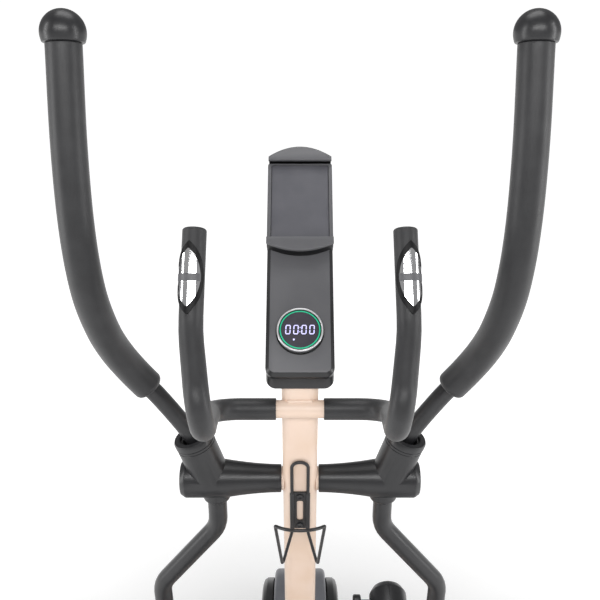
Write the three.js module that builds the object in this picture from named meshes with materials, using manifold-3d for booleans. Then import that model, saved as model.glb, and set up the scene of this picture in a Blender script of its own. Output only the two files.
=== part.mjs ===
// Front-drive elliptical trainer, built as an assembly of named parts.
// Millimetres. X is to the user's right, Y is forward (the way the user faces), Z is up.
// Y = 0 is the axis the swing arms turn on; the last lines move the origin to the base centre.
import * as THREE from 'three';
import { mergeVertices } from 'three/addons/utils/BufferGeometryUtils.js';
import Module from 'manifold-3d';

const wasm = await Module();
wasm.setup();

// ---------------------------------------------------------------- driving dimensions
const GAP = 0.3;
const RAD = Math.PI / 180;
const SIDES = [['left', -1], ['right', 1]];
const TUBE_SIDES = 8;
const BORE_SIDES = 6;
const ROUND_SIDES = 20;

const pivot = { y: 0, z: 980, axleRadius: 12.5, axleEnd: 171 };
const mast = { width: 50, depth: 50, corner: 14, wall: 2.5, lean: 12.3 * RAD, y: 4, bottom: 255, top: 1190 };
const post = { size: 44, corner: 11, wall: 3, top: 430 };
const beam = { width: 60, height: 40, corner: 6, wall: 2.5, bottom: 70.3, rear: -485, front: 530, drain: 3 };
const stabiliser = { depth: 60, height: 40, wall: 2.5, bottom: 30, corner: 15 };
const rearStabiliser = { y: -450, half: 245 };
const frontStabiliser = { y: 492, half: 215 };
const foot = { depth: 56, height: 71, corner: 12 };
const wheel = { radius: 26, bore: 6, inner: 216, outer: 234, y: 549, z: 29.5, stub: 5.5 };

const bar = { radius: 12.2, foamRadius: 14.8, foamBore: 13.25, foamStart: 32, y: -56, z: 1128.5, endCover: 4 };
const sensor = { length: 84, inner: 15.6, outer: 18, plateLength: 68, plateWidth: 27, plateTop: 19.4 };
const consoleBox = { width: 91, length: 345, depth: 38, split: 14, corner: 10, wall: 2.5 };
const consoleSeat = { y: -76, z: 1189, tilt: 44 * RAD };
const phone = {
  padWidth: 81, padLow: 195, padHigh: 318, padTop: 6, tongueWidth: 50, tongueTop: 2.3, shelfTop: 20,
  lipTop: 16,
};
const display = { y: 61, radius: 31, height: 9, face: 25.5 };

const upperArm = { radius: 13, bore: 11, foamRadius: 21.5, foamBore: 14.2, ballRadius: 27 };
const lowerArm = { radius: 14.3, bore: 12, x: 124, wideX: 220 };
const hub = { inner: 29, outer: 167, radius: 17, bore: 12.9, socketRadius: 18, socketBore: 14.4 };
const cover = { wall: 2.5, innerEnd: 27.5, outerEnd: 176, small: 20.5, large: 28.5, socketTop: 82 };
const socket = { x: 130, outward: 17.5 * RAD, back: 5.5 * RAD };

const crank = { y: 310, z: 300, throw: 150, turn: 2.49 * RAD, inner: 111, outer: 127, axleRadius: 10 };
const disc = { radius: 170, inner: 56, outer: 82, boss: 18, wall: 3 };
const shell = { radius: 189, half: 54, wall: 2.5, frontY: 400, frontZ: 247, frontRadius: 135, notch: 28 };
const pulley = { radius: 95, inner: 11, outer: 21 };
const flywheel = { y: 420, z: 215, radius: 80, left: -26, right: 6, axleRadius: 6, pulleyRadius: 16 };
const sidePlate = { inner: 30.4, outer: 34.4 };
const belt = { clearance: 1.2, thickness: 2.5 };

const joint = { y: -150, z: 320, bushInner: 206, bushOuter: 234, bushRadius: 18, boltRadius: 8 };
const footTube = { x: 185, radius: 18, bore: 16, hubRadius: 22, overhang: 360, lugEnd: 205.6 };
const footCover = { radius: 39, neck: 25, wall: 3 };
const pedal = { width: 132, length: 352, wall: 4, rim: 26, corner: 34, base: 8, start: 26 };

// ---------------------------------------------------------------- materials
const cream = [0xeed6c2, 0.45, 0.1];
const blackPlastic = [0x3b3b3d, 0.5, 0];
const darkPlastic = [0x4c4c4e, 0.45, 0];
const foamBlack = [0x38383a, 0.85, 0];
const blackPaint = [0x39393b, 0.4, 0.3];
const steel = [0xb4b4b6, 0.3, 1];
const castIron = [0x55565a, 0.6, 0.8];
const rubber = [0x242425, 0.9, 0];
const glassBlack = [0x1c1c20, 0.2, 0];
const boardGreen = [0x1f6b45, 0.6, 0];

const model = new THREE.Group();

function addPart(name, geometry, look, parent = model) {
  const [color, roughness, metalness] = look;
  const mesh = new THREE.Mesh(geometry, new THREE.MeshStandardMaterial({ color, roughness, metalness }));
  mesh.name = name;
  parent.add(mesh);
  return mesh;
}

// ---------------------------------------------------------------- solids and booleans
function toSolid(geometry) {
  const plain = geometry.clone();
  plain.deleteAttribute('normal');
  plain.deleteAttribute('uv');
  const merged = mergeVertices(plain, 1e-3);
  const kept = [];
  const index = merged.index.array;
  for (let i = 0; i < index.length; i += 3) {
    const [a, b, c] = [index[i], index[i + 1], index[i + 2]];
    if (a !== b && b !== c && c !== a) kept.push(a, b, c); // a lathe's pole leaves flat triangles
  }
  const vertProperties = new Float32Array(merged.attributes.position.array);
  return new wasm.Manifold(new wasm.Mesh({ numProp: 3, vertProperties, triVerts: new Uint32Array(kept) }));
}

function toGeometry(solid) {
  const mesh = solid.getMesh();
  const geometry = new THREE.BufferGeometry();
  geometry.setAttribute('position', new THREE.BufferAttribute(new Float32Array(mesh.vertProperties), 3));
  geometry.setIndex(new THREE.BufferAttribute(new Uint32Array(mesh.triVerts), 1));
  return geometry;
}

function combine(added, removed = []) {
  let solid = toSolid(added[0]);
  for (const extra of added.slice(1)) solid = solid.add(toSolid(extra));
  for (const cut of removed) solid = solid.subtract(toSolid(cut));
  return toGeometry(solid);
}

function common(first, second) {
  return toGeometry(toSolid(first).intersect(toSolid(second)));
}

// ---------------------------------------------------------------- shapes and sweeps
function circleShape(radius, bore = 0) {
  const shape = new THREE.Shape();
  shape.absarc(0, 0, radius, 0, 2 * Math.PI);
  if (bore > 0) shape.holes.push(new THREE.Path().absarc(0, 0, bore, 0, 2 * Math.PI, true));
  return shape;
}

function traceRoundedRect(path, width, height, corner) {
  const x = width / 2 - corner;
  const y = height / 2 - corner;
  path.absarc(x, y, corner, 0, Math.PI / 2);
  path.absarc(-x, y, corner, Math.PI / 2, Math.PI);
  path.absarc(-x, -y, corner, Math.PI, 1.5 * Math.PI);
  path.absarc(x, -y, corner, 1.5 * Math.PI, 2 * Math.PI);
  return path;
}

function roundedRect(width, height, corner, wall = 0) {
  const shape = traceRoundedRect(new THREE.Shape(), width, height, corner);
  if (wall > 0) {
    const hole = new THREE.Path();
    traceRoundedRect(hole, width - 2 * wall, height - 2 * wall, Math.max(corner - wall, 1));
    shape.holes.push(hole);
  }
  return shape;
}

function extrude(shape, depth, curveSegments = 1) {
  return new THREE.ExtrudeGeometry(shape, { depth, bevelEnabled: false, curveSegments });
}

// A shape drawn in (Y, Z), as thick as the span from x0 to x1.
const ACROSS = new THREE.Matrix4().makeBasis(
  new THREE.Vector3(0, 1, 0), new THREE.Vector3(0, 0, 1), new THREE.Vector3(1, 0, 0));

function plate(shape, x0, x1, curveSegments = 12) {
  const low = Math.min(x0, x1);
  return extrude(shape, Math.abs(x1 - x0), curveSegments).applyMatrix4(ACROSS).translate(low, 0, 0);
}

function box(low, high) {
  const size = high.map((value, i) => value - low[i]);
  const middle = high.map((value, i) => (value + low[i]) / 2);
  return new THREE.BoxGeometry(...size).translate(...middle);
}

// A rod along X on one side of the machine, from |x| = inner to |x| = outer.
function rod(side, inner, outer, radius, y, z, sides = 24) {
  const length = outer - inner;
  const geometry = new THREE.CylinderGeometry(radius, radius, length, sides);
  return geometry.rotateZ(Math.PI / 2).translate(side * (inner + length / 2), y, z);
}

// A turned piece on an axis along X; the profile lists [radius, |x|] and closes on itself.
function turned(side, profile, y, z, sides = ROUND_SIDES) {
  const points = profile.map(([radius, along]) => new THREE.Vector2(radius, along));
  return new THREE.LatheGeometry(points, sides).rotateZ(-side * Math.PI / 2).translate(0, y, z);
}

// A path of straight stretches whose knots are exactly the sections of the sweep.
class KnotPath extends THREE.Curve {
  constructor(knots) {
    super();
    this.knots = knots;
  }

  getUtoTmapping(u) {
    return u;
  }

  getPoint(t, target = new THREE.Vector3()) {
    const last = this.knots.length - 1;
    const place = Math.min(Math.max(t, 0), 1) * last;
    const i = Math.min(Math.floor(place), last - 1);
    return target.lerpVectors(this.knots[i], this.knots[i + 1], place - i);
  }
}

function sweep(knots, radius, bore = 0, sides = TUBE_SIDES) {
  const options = { steps: knots.length - 1, extrudePath: new KnotPath(knots), curveSegments: sides / 2 };
  return new THREE.ExtrudeGeometry(circleShape(radius, bore), options);
}

// Straight runs between corners, each inner corner rounded by its own bend radius.
function bentKnots(corners, radii, stepAngle = 30 * RAD) {
  const knots = [corners[0].clone()];
  for (let i = 1; i < corners.length - 1; i += 1) {
    const before = corners[i - 1].clone().sub(corners[i]).normalize();
    const after = corners[i + 1].clone().sub(corners[i]).normalize();
    const turn = Math.PI - before.angleTo(after);
    const radius = radii[i - 1];
    const inward = before.clone().add(after).normalize();
    const centre = corners[i].clone().addScaledVector(inward, radius / Math.cos(turn / 2));
    const first = corners[i].clone().addScaledVector(before, radius * Math.tan(turn / 2)).sub(centre);
    const axis = new THREE.Vector3().crossVectors(after, before).normalize();
    const steps = Math.max(2, Math.ceil(turn / stepAngle));
    for (let s = 0; s <= steps; s += 1) {
      knots.push(first.clone().applyAxisAngle(axis, turn * s / steps).add(centre));
    }
  }
  knots.push(corners[corners.length - 1].clone());
  return knots;
}

function splineKnots(points, steps) {
  const curve = new THREE.CatmullRomCurve3(points, false, 'centripetal');
  return curve.getSpacedPoints(steps);
}

function place(side, list) {
  return list.map(([x, y, z]) => new THREE.Vector3(side * x, y, z));
}

// ---------------------------------------------------------------- base frame
function alongMast(geometry, atZ) {
  return geometry.rotateX(mast.lean)
    .translate(0, mast.y - (atZ - pivot.z) * Math.tan(mast.lean), atZ);
}

// A box tube with a plate at each end; a small drain hole goes through both plates.
function baseBeam() {
  const { width, height, corner, wall, bottom, rear, front, drain } = beam;
  const length = front - rear;
  const outside = extrude(roundedRect(width, height, corner), length);
  const inside = extrude(roundedRect(width - 2 * wall, height - 2 * wall, corner - wall), length - 2 * wall);
  const drainHole = extrude(circleShape(drain), length + 2 * wall, 3);
  const tube = combine([outside], [inside.translate(0, 0, wall), drainHole.translate(0, 0, -wall)]);
  tube.rotateX(Math.PI / 2).translate(0, front, bottom + height / 2);
  addPart('base_beam', tube, cream);
}

function stabiliserTube(name, y, half) {
  const { depth, height, corner, wall, bottom } = stabiliser;
  const section = roundedRect(depth, height, corner, wall);
  const geometry = plate(section, -half + GAP, half - GAP, 2).translate(0, y, bottom + height / 2);
  addPart(name, geometry, cream);
}

function footBlock(side, inner, outer, y) {
  const section = roundedRect(foot.depth, foot.height, foot.corner);
  return plate(section, side * inner, side * outer, 2).translate(0, y, foot.height / 2);
}

function rearFeet(name, side) {
  const geometry = footBlock(side, rearStabiliser.half, rearStabiliser.half + 36, rearStabiliser.y);
  addPart(`rear_foot_${name}`, geometry, blackPlastic);
}

function frontFeet(name, side) {
  const arm = new THREE.Shape();
  const { y } = frontStabiliser;
  arm.absarc(wheel.y, wheel.z, 13, -Math.PI / 2, Math.PI / 2);
  arm.lineTo(y, wheel.z + 24);
  arm.lineTo(y, wheel.z - 22);
  const inner = wheel.outer + 3;
  addPart(`front_foot_${name}`, combine([
    footBlock(side, frontStabiliser.half, frontStabiliser.half + 36, y),
    plate(arm, side * inner, side * (inner + 7), 6),
    rod(side, wheel.inner - 3, inner + 2, wheel.stub, wheel.y, wheel.z, 16),
  ]), blackPlastic);
}

function transportWheel(name, side) {
  const { bore, radius, inner, outer } = wheel;
  const profile = [
    [bore, inner], [radius - 3, inner], [radius, inner + 4], [radius, outer - 4],
    [radius - 3, outer], [bore, outer], [bore, inner],
  ];
  addPart(`transport_wheel_${name}`, turned(side, profile, wheel.y, wheel.z, 20), rubber);
}

function basePost() {
  const length = (post.top - beam.bottom) / Math.cos(mast.lean);
  const tube = extrude(roundedRect(post.size, post.size, post.corner, post.wall), length);
  const floor = box([-100, -100, 0], [100, 400, beam.bottom + beam.height + GAP]);
  addPart('base_post', combine([alongMast(tube, beam.bottom)], [floor]), cream);
}

function mastTube() {
  const { width, depth, corner, wall, bottom, top } = mast;
  const length = (top - bottom) / Math.cos(mast.lean);
  const tube = alongMast(extrude(roundedRect(width, depth, corner, wall), length, 2), bottom);
  const barCut = rod(1, -mast.width, mast.width, bar.radius + GAP + 0.7, bar.y, bar.z, 12);
  const axleCut = rod(1, -mast.width, mast.width, pivot.axleRadius + GAP + 0.2, pivot.y, pivot.z, 20);
  addPart('mast', combine([tube], [barCut, axleCut, consoleBlock(GAP)]), cream);
}

// ---------------------------------------------------------------- fixed handlebar
// Corners of one half: out from the mast, back towards the user, then up and forward.
const HALF_BAR = [
  [0, bar.y, bar.z], [121, bar.y, bar.z], [108, -252, 1203], [129, -140, 1281], [126.3, -78, 1388],
];
const BAR_BENDS = [42, 40, 78];

function barCorners(side, startX, trim) {
  const corners = place(side, HALF_BAR);
  corners[0].x = side * startX;
  const last = corners.length - 1;
  const end = corners[last].clone().sub(corners[last - 1]).normalize();
  corners[last].addScaledVector(end, -trim);
  return corners;
}

function fixedHandlebar() {
  const leftHalf = bentKnots(barCorners(-1, 0, bar.endCover), BAR_BENDS).reverse();
  const rightHalf = bentKnots(barCorners(1, 0, bar.endCover), BAR_BENDS);
  const knots = leftHalf.slice(0, -1).concat(rightHalf.slice(1));
  addPart('fixed_handlebar', sweep(knots, bar.radius, bar.radius - 2), cream);
}

function handlebarFoam(name, side) {
  const sleeve = sweep(bentKnots(barCorners(side, bar.foamStart, 0), BAR_BENDS), bar.foamRadius);
  const bore = sweep(bentKnots(barCorners(side, bar.foamStart - 2, bar.endCover - GAP), BAR_BENDS), bar.foamBore);
  addPart(`handlebar_foam_${name}`, combine([sleeve], [bore]), foamBlack);
}

function lensShape(length, width) {
  const radius = (length * length + width * width) / (4 * width);
  const half = Math.asin(length / 2 / radius);
  const shape = new THREE.Shape();
  const offset = radius - width / 2;
  shape.absarc(-offset, 0, radius, -half, half);
  shape.absarc(offset, 0, radius, Math.PI - half, Math.PI + half);
  return shape;
}

// A curved plate that hugs a round grip: local y runs along the grip, local z faces the user.
function saddle(length, width, inner, outer) {
  const ring = combine(
    [new THREE.CylinderGeometry(outer, outer, length + 10, ROUND_SIDES)],
    [new THREE.CylinderGeometry(inner, inner, length + 20, ROUND_SIDES)],
  );
  return common(extrude(lensShape(length, width), outer + 5, 3), ring);
}

function pulseSensor(name, side) {
  const corners = place(side, HALF_BAR);
  const along = corners[4].clone().sub(corners[3]).normalize();
  const facing = new THREE.Vector3(side * 0.2, -1, 0);
  facing.addScaledVector(along, -facing.dot(along)).normalize();
  const across = new THREE.Vector3().crossVectors(along, facing);
  const group = new THREE.Group();
  group.setRotationFromMatrix(new THREE.Matrix4().makeBasis(across, along, facing));
  group.position.copy(corners[3]).addScaledVector(along, 62);
  const { length, inner, outer, plateLength, plateWidth, plateTop } = sensor;
  addPart(`pulse_bezel_${name}`, saddle(length, 2 * outer - 0.5, inner, outer), blackPlastic, group);
  addPart(`pulse_plate_${name}`, saddle(plateLength, plateWidth, outer + GAP, plateTop), steel, group);
  model.add(group);
}

// ---------------------------------------------------------------- console
// Local frame: x right, y up the face, z out of the face; the origin is the face's lower edge.
const consoleGroup = new THREE.Group();
consoleGroup.position.set(0, consoleSeat.y, consoleSeat.z);
consoleGroup.rotation.x = consoleSeat.tilt;
model.add(consoleGroup);

function consoleBlock(margin) {
  const { width, length, depth } = consoleBox;
  const low = [-width / 2 - margin, -margin, -depth - margin];
  const high = [width / 2 + margin, length + margin, margin];
  return box(low, high).rotateX(consoleSeat.tilt).translate(0, consoleSeat.y, consoleSeat.z);
}

function consoleSlab(low, high, inset = 0) {
  const { width, length, corner } = consoleBox;
  const outline = roundedRect(width - 2 * inset, length - 2 * inset, Math.max(corner - inset, 1));
  return extrude(outline, high - low, 2).translate(0, length / 2, low);
}

function consoleShells() {
  const { depth, split, wall } = consoleBox;
  const back = combine(
    [consoleSlab(-depth, -split - GAP)],
    [consoleSlab(-depth + wall, 0, wall)],
  );
  addPart('console_back_shell', back, darkPlastic, consoleGroup);
  const puck = new THREE.CylinderGeometry(display.radius - 2, display.radius, display.height - 2, ROUND_SIDES);
  puck.rotateX(Math.PI / 2).translate(0, display.y, display.height / 2 - 1);
  const front = combine(
    [consoleSlab(-split, 0), puck],
    [consoleSlab(-split - 1, -wall, wall)],
  );
  addPart('console_front_shell', front, darkPlastic, consoleGroup);
  const board = box([-32, 20, -11], [32, 110, -9.4]);
  addPart('console_board', board, boardGreen, consoleGroup);
}

function consoleDisplay() {
  const seat = display.height - 2 + GAP;
  const { radius, face, height } = display;
  const profile = [[face + GAP, seat], [radius - 2, seat], [radius - 2, height], [face + 2, height + 1]];
  profile.push([face + GAP, height + 1], profile[0]);
  const points = profile.map(([r, z]) => new THREE.Vector2(r, z));
  const ring = new THREE.LatheGeometry(points, ROUND_SIDES).rotateX(Math.PI / 2);
  addPart('display_ring', ring.translate(0, display.y, 0), steel, consoleGroup);
  const lens = new THREE.CylinderGeometry(face, face, 2.4, ROUND_SIDES).rotateX(Math.PI / 2);
  addPart('display_lens', lens.translate(0, display.y, seat + 1.2), glassBlack, consoleGroup);
}

// A lip lying on the face: straight along chordY, bowed to middleY in the centre of its far edge.
function bowedLip(width, chordY, sideY, middleY, top) {
  const shape = new THREE.Shape();
  shape.moveTo(-width / 2, chordY);
  shape.lineTo(-width / 2, sideY);
  shape.quadraticCurveTo(0, 2 * middleY - sideY, width / 2, sideY);
  shape.lineTo(width / 2, chordY);
  return extrude(shape, top - GAP, 6).translate(0, 0, GAP);
}

function phoneHolder() {
  const { padWidth, padLow, padHigh, padTop, tongueWidth, tongueTop, shelfTop, lipTop } = phone;
  const channelHalf = tongueWidth / 2 + 0.5;
  const channel = box([-channelHalf, padLow - 1, -1], [channelHalf, padHigh + 1, tongueTop + GAP]);
  const pad = combine([box([-padWidth / 2, padLow, GAP], [padWidth / 2, padHigh, padTop])], [channel]);
  addPart('phone_rest_pad', pad, darkPlastic, consoleGroup);
  const lipWidth = consoleBox.width + 2;
  addPart('phone_shelf', bowedLip(lipWidth, padLow - GAP, padLow - 10, padLow - 22, shelfTop), darkPlastic,
    consoleGroup);
  const lip = bowedLip(consoleBox.width, padHigh + 4, padHigh + 10, consoleBox.length, lipTop);
  const tongue = box([-tongueWidth / 2, padLow + 50, GAP], [tongueWidth / 2, padHigh + 8, tongueTop]);
  addPart('phone_clamp', combine([lip, tongue]), darkPlastic, consoleGroup);
}

// ---------------------------------------------------------------- bottle cage
const cage = {
  wire: 2.4, loopHalf: 11.7, loopTop: 1031, legTop: 888, joinZ: 905,
  plateWidth: 28.6, plateTop: 976, plateBottom: 900, slotWidth: 9.2, slotLength: 44,
  footHalf: 26.5, footOut: 35, footZ: 843,
  hoopRadius: 40.6, hoopTurn: 59.5 * RAD, frontOut: 78, frontZ: 959, cornerZ: 950,
};

function mastFaceY(z) {
  return mast.y - (z - pivot.z) * Math.tan(mast.lean) - mast.depth / 2 / Math.cos(mast.lean);
}

// A point of the cage: x to the side, out from the mast's rear face, z up.
function cagePoint(x, out, z) {
  return new THREE.Vector3(x, mastFaceY(z) - out, z);
}

// The hoop round the bottle's near side, by angle from its foremost point.
function hoopPoint(angle) {
  const { hoopRadius, hoopTurn, frontOut, frontZ, cornerZ } = cage;
  const rise = (Math.cos(angle) - Math.cos(hoopTurn)) / (1 - Math.cos(hoopTurn));
  const out = frontOut - hoopRadius * (1 - Math.cos(angle));
  return cagePoint(hoopRadius * Math.sin(angle), out, cornerZ + (frontZ - cornerZ) * rise);
}

function cagePlate() {
  const { plateWidth, plateTop, plateBottom, slotWidth, slotLength } = cage;
  const strip = roundedRect(plateWidth, (plateTop - plateBottom) / Math.cos(mast.lean), 3);
  const slot = new THREE.Path();
  traceRoundedRect(slot, slotWidth, slotLength, 3);
  strip.holes.push(slot);
  const middle = (plateTop + plateBottom) / 2;
  const plate = extrude(strip, 3, 2).rotateX(Math.PI / 2 + mast.lean);
  return plate.translate(0, mastFaceY(middle) - GAP - 0.1, middle);
}

// One wire: a loop up the mast, two legs down to the bottle's foot, and a hoop round its front.
function bottleCage() {
  const { wire, loopHalf, loopTop, legTop, joinZ, footHalf, footOut, footZ, hoopTurn } = cage;
  const seat = GAP + 3.2;
  const loop = bentKnots([
    cagePoint(-loopHalf, seat, joinZ - 3), cagePoint(-loopHalf, seat, loopTop),
    cagePoint(loopHalf, seat, loopTop), cagePoint(loopHalf, seat, joinZ - 3),
  ], [loopHalf - 0.2, loopHalf - 0.2], 30 * RAD);
  const leg = (side) => [
    cagePoint(side * loopHalf, seat, joinZ + 3), cagePoint(side * loopHalf, seat, legTop),
    cagePoint(side * footHalf, footOut, footZ), hoopPoint(side * hoopTurn),
  ];
  const front = [-40, -20, 0, 20, 40].map((angle) => hoopPoint(angle * RAD));
  const corners = [...leg(-1), ...front, ...leg(1).reverse()];
  const basket = bentKnots(corners, [6, 4, 4, ...front.map(() => 30), 4, 4, 6], 40 * RAD);
  addPart('bottle_cage', combine([cagePlate(), sweep(loop, wire, 0, 6), sweep(basket, wire, 0, 6)]), blackPaint);
}

// ---------------------------------------------------------------- swing arms
function pivotAxle() {
  const { axleRadius, axleEnd, y, z } = pivot;
  addPart('pivot_axle', rod(1, -axleEnd, axleEnd, axleRadius, y, z, 20), steel);
}

function socketFrame(side) {
  const along = new THREE.Vector3(side * Math.tan(socket.outward), -Math.tan(socket.back), 1).normalize();
  const start = new THREE.Vector3(side * socket.x, pivot.y, pivot.z);
  return { along, start, at: (distance) => start.clone().addScaledVector(along, distance) };
}

function upperKnots(side) {
  const { at } = socketFrame(side);
  const points = [at(32), at(56), at(80)].concat(place(side, [
    [194, -13, 1120], [228, -22, 1169], [246, -37, 1208], [256, -56, 1250], [264, -70, 1305],
    [270, -69, 1380], [273, -55, 1478], [274, -28, 1596],
  ]));
  return splineKnots(points, 13);
}

const FOAM_FIRST = 3;

function upperArmParts(name, side) {
  const knots = upperKnots(side);
  addPart(`upper_arm_${name}`, sweep(knots, upperArm.radius, upperArm.bore), blackPaint);
  const sleeve = knots.slice(FOAM_FIRST);
  sleeve[0] = sleeve[0].clone().lerp(sleeve[1], 0.35);
  addPart(`swing_foam_${name}`, sweep(sleeve, upperArm.foamRadius, upperArm.foamBore), foamBlack);
  const last = knots.length - 1;
  const along = knots[last].clone().sub(knots[last - 1]).normalize();
  const r = upperArm.ballRadius;
  const points = [new THREE.Vector2(0, GAP), new THREE.Vector2(r * 0.9, GAP)];
  for (let i = 0; i <= 6; i += 1) {
    const angle = (-22 + 112 * i / 6) * RAD;
    points.push(new THREE.Vector2(Math.max(r * Math.cos(angle), 0), r * (0.45 + Math.sin(angle))));
  }
  points[points.length - 1].x = 0;
  const ball = new THREE.LatheGeometry(points, 16);
  const mesh = addPart(`handle_ball_${name}`, ball, blackPlastic);
  mesh.quaternion.setFromUnitVectors(new THREE.Vector3(0, 1, 0), along);
  mesh.position.copy(knots[last]);
}

// The hidden stretch below the wide corner bends back to reach the foot tube.
const LOWER_ARM = [
  [lowerArm.x, pivot.y, pivot.z], [lowerArm.x, 4, 893], [lowerArm.wideX, 17, 770],
  [lowerArm.wideX, 40, 600], [lowerArm.wideX, joint.y, joint.z],
];
const LOWER_BENDS = [50, 50, 130];

function lowerArmPart(name, side) {
  const knots = bentKnots(place(side, LOWER_ARM), LOWER_BENDS);
  const { at } = socketFrame(side);
  const { bushInner, bushOuter, bushRadius, boltRadius, y, z } = joint;
  addPart(`swing_arm_${name}`, combine([
    rod(side, hub.inner, hub.outer, hub.radius, pivot.y, pivot.z, 20),
    sweep([at(0), at(74)], hub.socketRadius, 0, 14),
    sweep(knots, lowerArm.radius),
    rod(side, bushInner, bushOuter, bushRadius, y, z, 20),
  ], [
    rod(side, hub.inner - 5, hub.outer + 5, hub.bore, pivot.y, pivot.z, 20),
    sweep([at(0), at(90)], hub.socketBore, 0, 14),
    sweep(knots, lowerArm.bore, 0, BORE_SIDES),
    rod(side, bushInner - 5, bushOuter + 5, boltRadius + GAP, y, z),
  ]), blackPaint);
}

function barrelProfile(shrink, open) {
  const { innerEnd, outerEnd, small, large } = cover;
  return [
    [0, innerEnd - open], [small - shrink, innerEnd - open], [small - shrink, innerEnd], [large - 2.5 - shrink, 96],
    [large - shrink, 104], [large - shrink, outerEnd - 7 - shrink], [large - 5 - shrink, outerEnd - 1 - shrink],
    [large - 12 - shrink, outerEnd - shrink], [0, outerEnd - shrink],
  ];
}

function pivotCovers(name, side) {
  const { at } = socketFrame(side);
  const lower = place(side, LOWER_ARM);
  const down = lower[1].clone().sub(lower[0]).normalize();
  const below = (distance) => lower[0].clone().addScaledVector(down, distance);
  const { wall, large, socketTop } = cover;
  const outer = [
    turned(side, barrelProfile(0, 0), pivot.y, pivot.z, 16),
    sweep([at(0), at(socketTop)], large, 0, 16),
    sweep([below(0), below(38)], 20.5, 0, 16),
  ];
  const inner = [
    turned(side, barrelProfile(wall, 5), pivot.y, pivot.z, 16),
    sweep([at(0), at(socketTop - 4)], large - wall, 0, 16),
    sweep([at(0), at(socketTop + 5)], upperArm.radius + 2.2, 0, 14),
    sweep([below(0), below(36)], 20.5 - wall, 0, 16),
    sweep([below(0), below(45)], lowerArm.radius + 0.9, 0, 16),
  ];
  const hollow = combine(outer, inner);
  const rearHalf = box([-400, -200, 800], [400, -GAP / 2, 1200]);
  const frontHalf = box([-400, GAP / 2, 800], [400, 200, 1200]);
  addPart(`pivot_cover_rear_${name}`, common(hollow, rearHalf), blackPlastic);
  addPart(`pivot_cover_front_${name}`, common(hollow, frontHalf), blackPlastic);
}

// ---------------------------------------------------------------- drive unit
function crankPin(side) {
  const angle = crank.turn + (side > 0 ? 0 : Math.PI);
  return { y: crank.y + crank.throw * Math.sin(angle), z: crank.z + crank.throw * Math.cos(angle) };
}

function roundLink(first, second) {
  const angle = Math.atan2(second.z - first.z, second.y - first.y);
  const lean = Math.acos((first.r - second.r) / Math.hypot(second.y - first.y, second.z - first.z));
  const shape = new THREE.Shape();
  shape.absarc(first.y, first.z, first.r, angle + lean, angle - lean + 2 * Math.PI);
  shape.absarc(second.y, second.z, second.r, angle - lean, angle + lean);
  return shape;
}

function crankArm(name, side) {
  const pin = crankPin(side);
  const outline = roundLink({ y: crank.y, z: crank.z, r: 22 }, { ...pin, r: 19 });
  const arm = plate(outline, side * crank.inner, side * crank.outer, 8);
  const axleHole = rod(side, crank.inner - 3, crank.outer - 3, crank.axleRadius + GAP, crank.y, crank.z);
  addPart(`crank_arm_${name}`, combine([arm], [axleHole]), blackPaint);
}

function crankDisc(name, side) {
  const { radius, inner, outer, boss, wall } = disc;
  const hole = crank.axleRadius + GAP;
  const profile = [
    [hole, inner], [boss, inner], [boss, outer - wall], [radius - 16, outer - wall - 2],
    [radius - wall, inner + 14], [radius - wall, inner], [radius, inner], [radius, inner + 15],
    [radius - 5, outer - 5], [radius - 14, outer - 2], [60, outer], [hole, outer], [hole, inner],
  ];
  addPart(`crank_disc_${name}`, turned(side, profile, crank.y, crank.z, 24), blackPlastic);
}

function crankAxle() {
  const end = crank.outer - 3.5;
  addPart('crank_axle', rod(1, -end, end, crank.axleRadius, crank.y, crank.z), steel);
  const { radius, inner, outer } = pulley;
  const web = (inner + outer) / 2;
  const hole = crank.axleRadius + GAP;
  const profile = [
    [hole, inner], [22, inner], [22, web - 2], [radius - 8, web - 2], [radius - 8, inner], [radius, inner],
    [radius, outer], [hole, outer], [hole, inner],
  ];
  addPart('drive_pulley', turned(1, profile, crank.y, crank.z, 24), blackPlastic);
}

function flywheelParts() {
  const { y, z, radius, left, right, axleRadius, pulleyRadius } = flywheel;
  const bore = axleRadius + GAP;
  const profile = [
    [bore, left], [radius, left], [radius, right], [pulleyRadius, right],
    [pulleyRadius, pulley.outer], [bore, pulley.outer], [bore, left],
  ];
  addPart('flywheel', turned(1, profile, y, z, 24), castIron);
  addPart('flywheel_axle', rod(1, -sidePlate.inner + GAP, sidePlate.inner - GAP, axleRadius, y, z, 16), steel);
}

function driveBelt() {
  const { clearance, thickness } = belt;
  const grow = (extra) => [
    { y: crank.y, z: crank.z, r: pulley.radius + extra },
    { y: flywheel.y, z: flywheel.z, r: flywheel.pulleyRadius + extra },
  ];
  const outer = plate(roundLink(...grow(clearance + thickness)), pulley.inner + 1, pulley.outer - 1, 10);
  const inner = plate(roundLink(...grow(clearance)), pulley.inner, pulley.outer, 10);
  addPart('drive_belt', combine([outer], [inner]), rubber);
}

function sidePlates(name, side) {
  const shape = new THREE.Shape();
  const low = beam.bottom + 4;
  shape.moveTo(crank.y - 70, low);
  shape.lineTo(flywheel.y + 18, low);
  shape.lineTo(flywheel.y + 18, flywheel.z);
  shape.absarc(crank.y, crank.z, 30, 0.35 * Math.PI, Math.PI);
  const geometry = plate(shape, side * sidePlate.inner, side * sidePlate.outer, 6);
  const bearingHole = rod(side, sidePlate.inner - 5, sidePlate.outer + 5, crank.axleRadius + GAP, crank.y, crank.z);
  addPart(`side_plate_${name}`, combine([geometry], [bearingHole]), steel);
}

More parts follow.
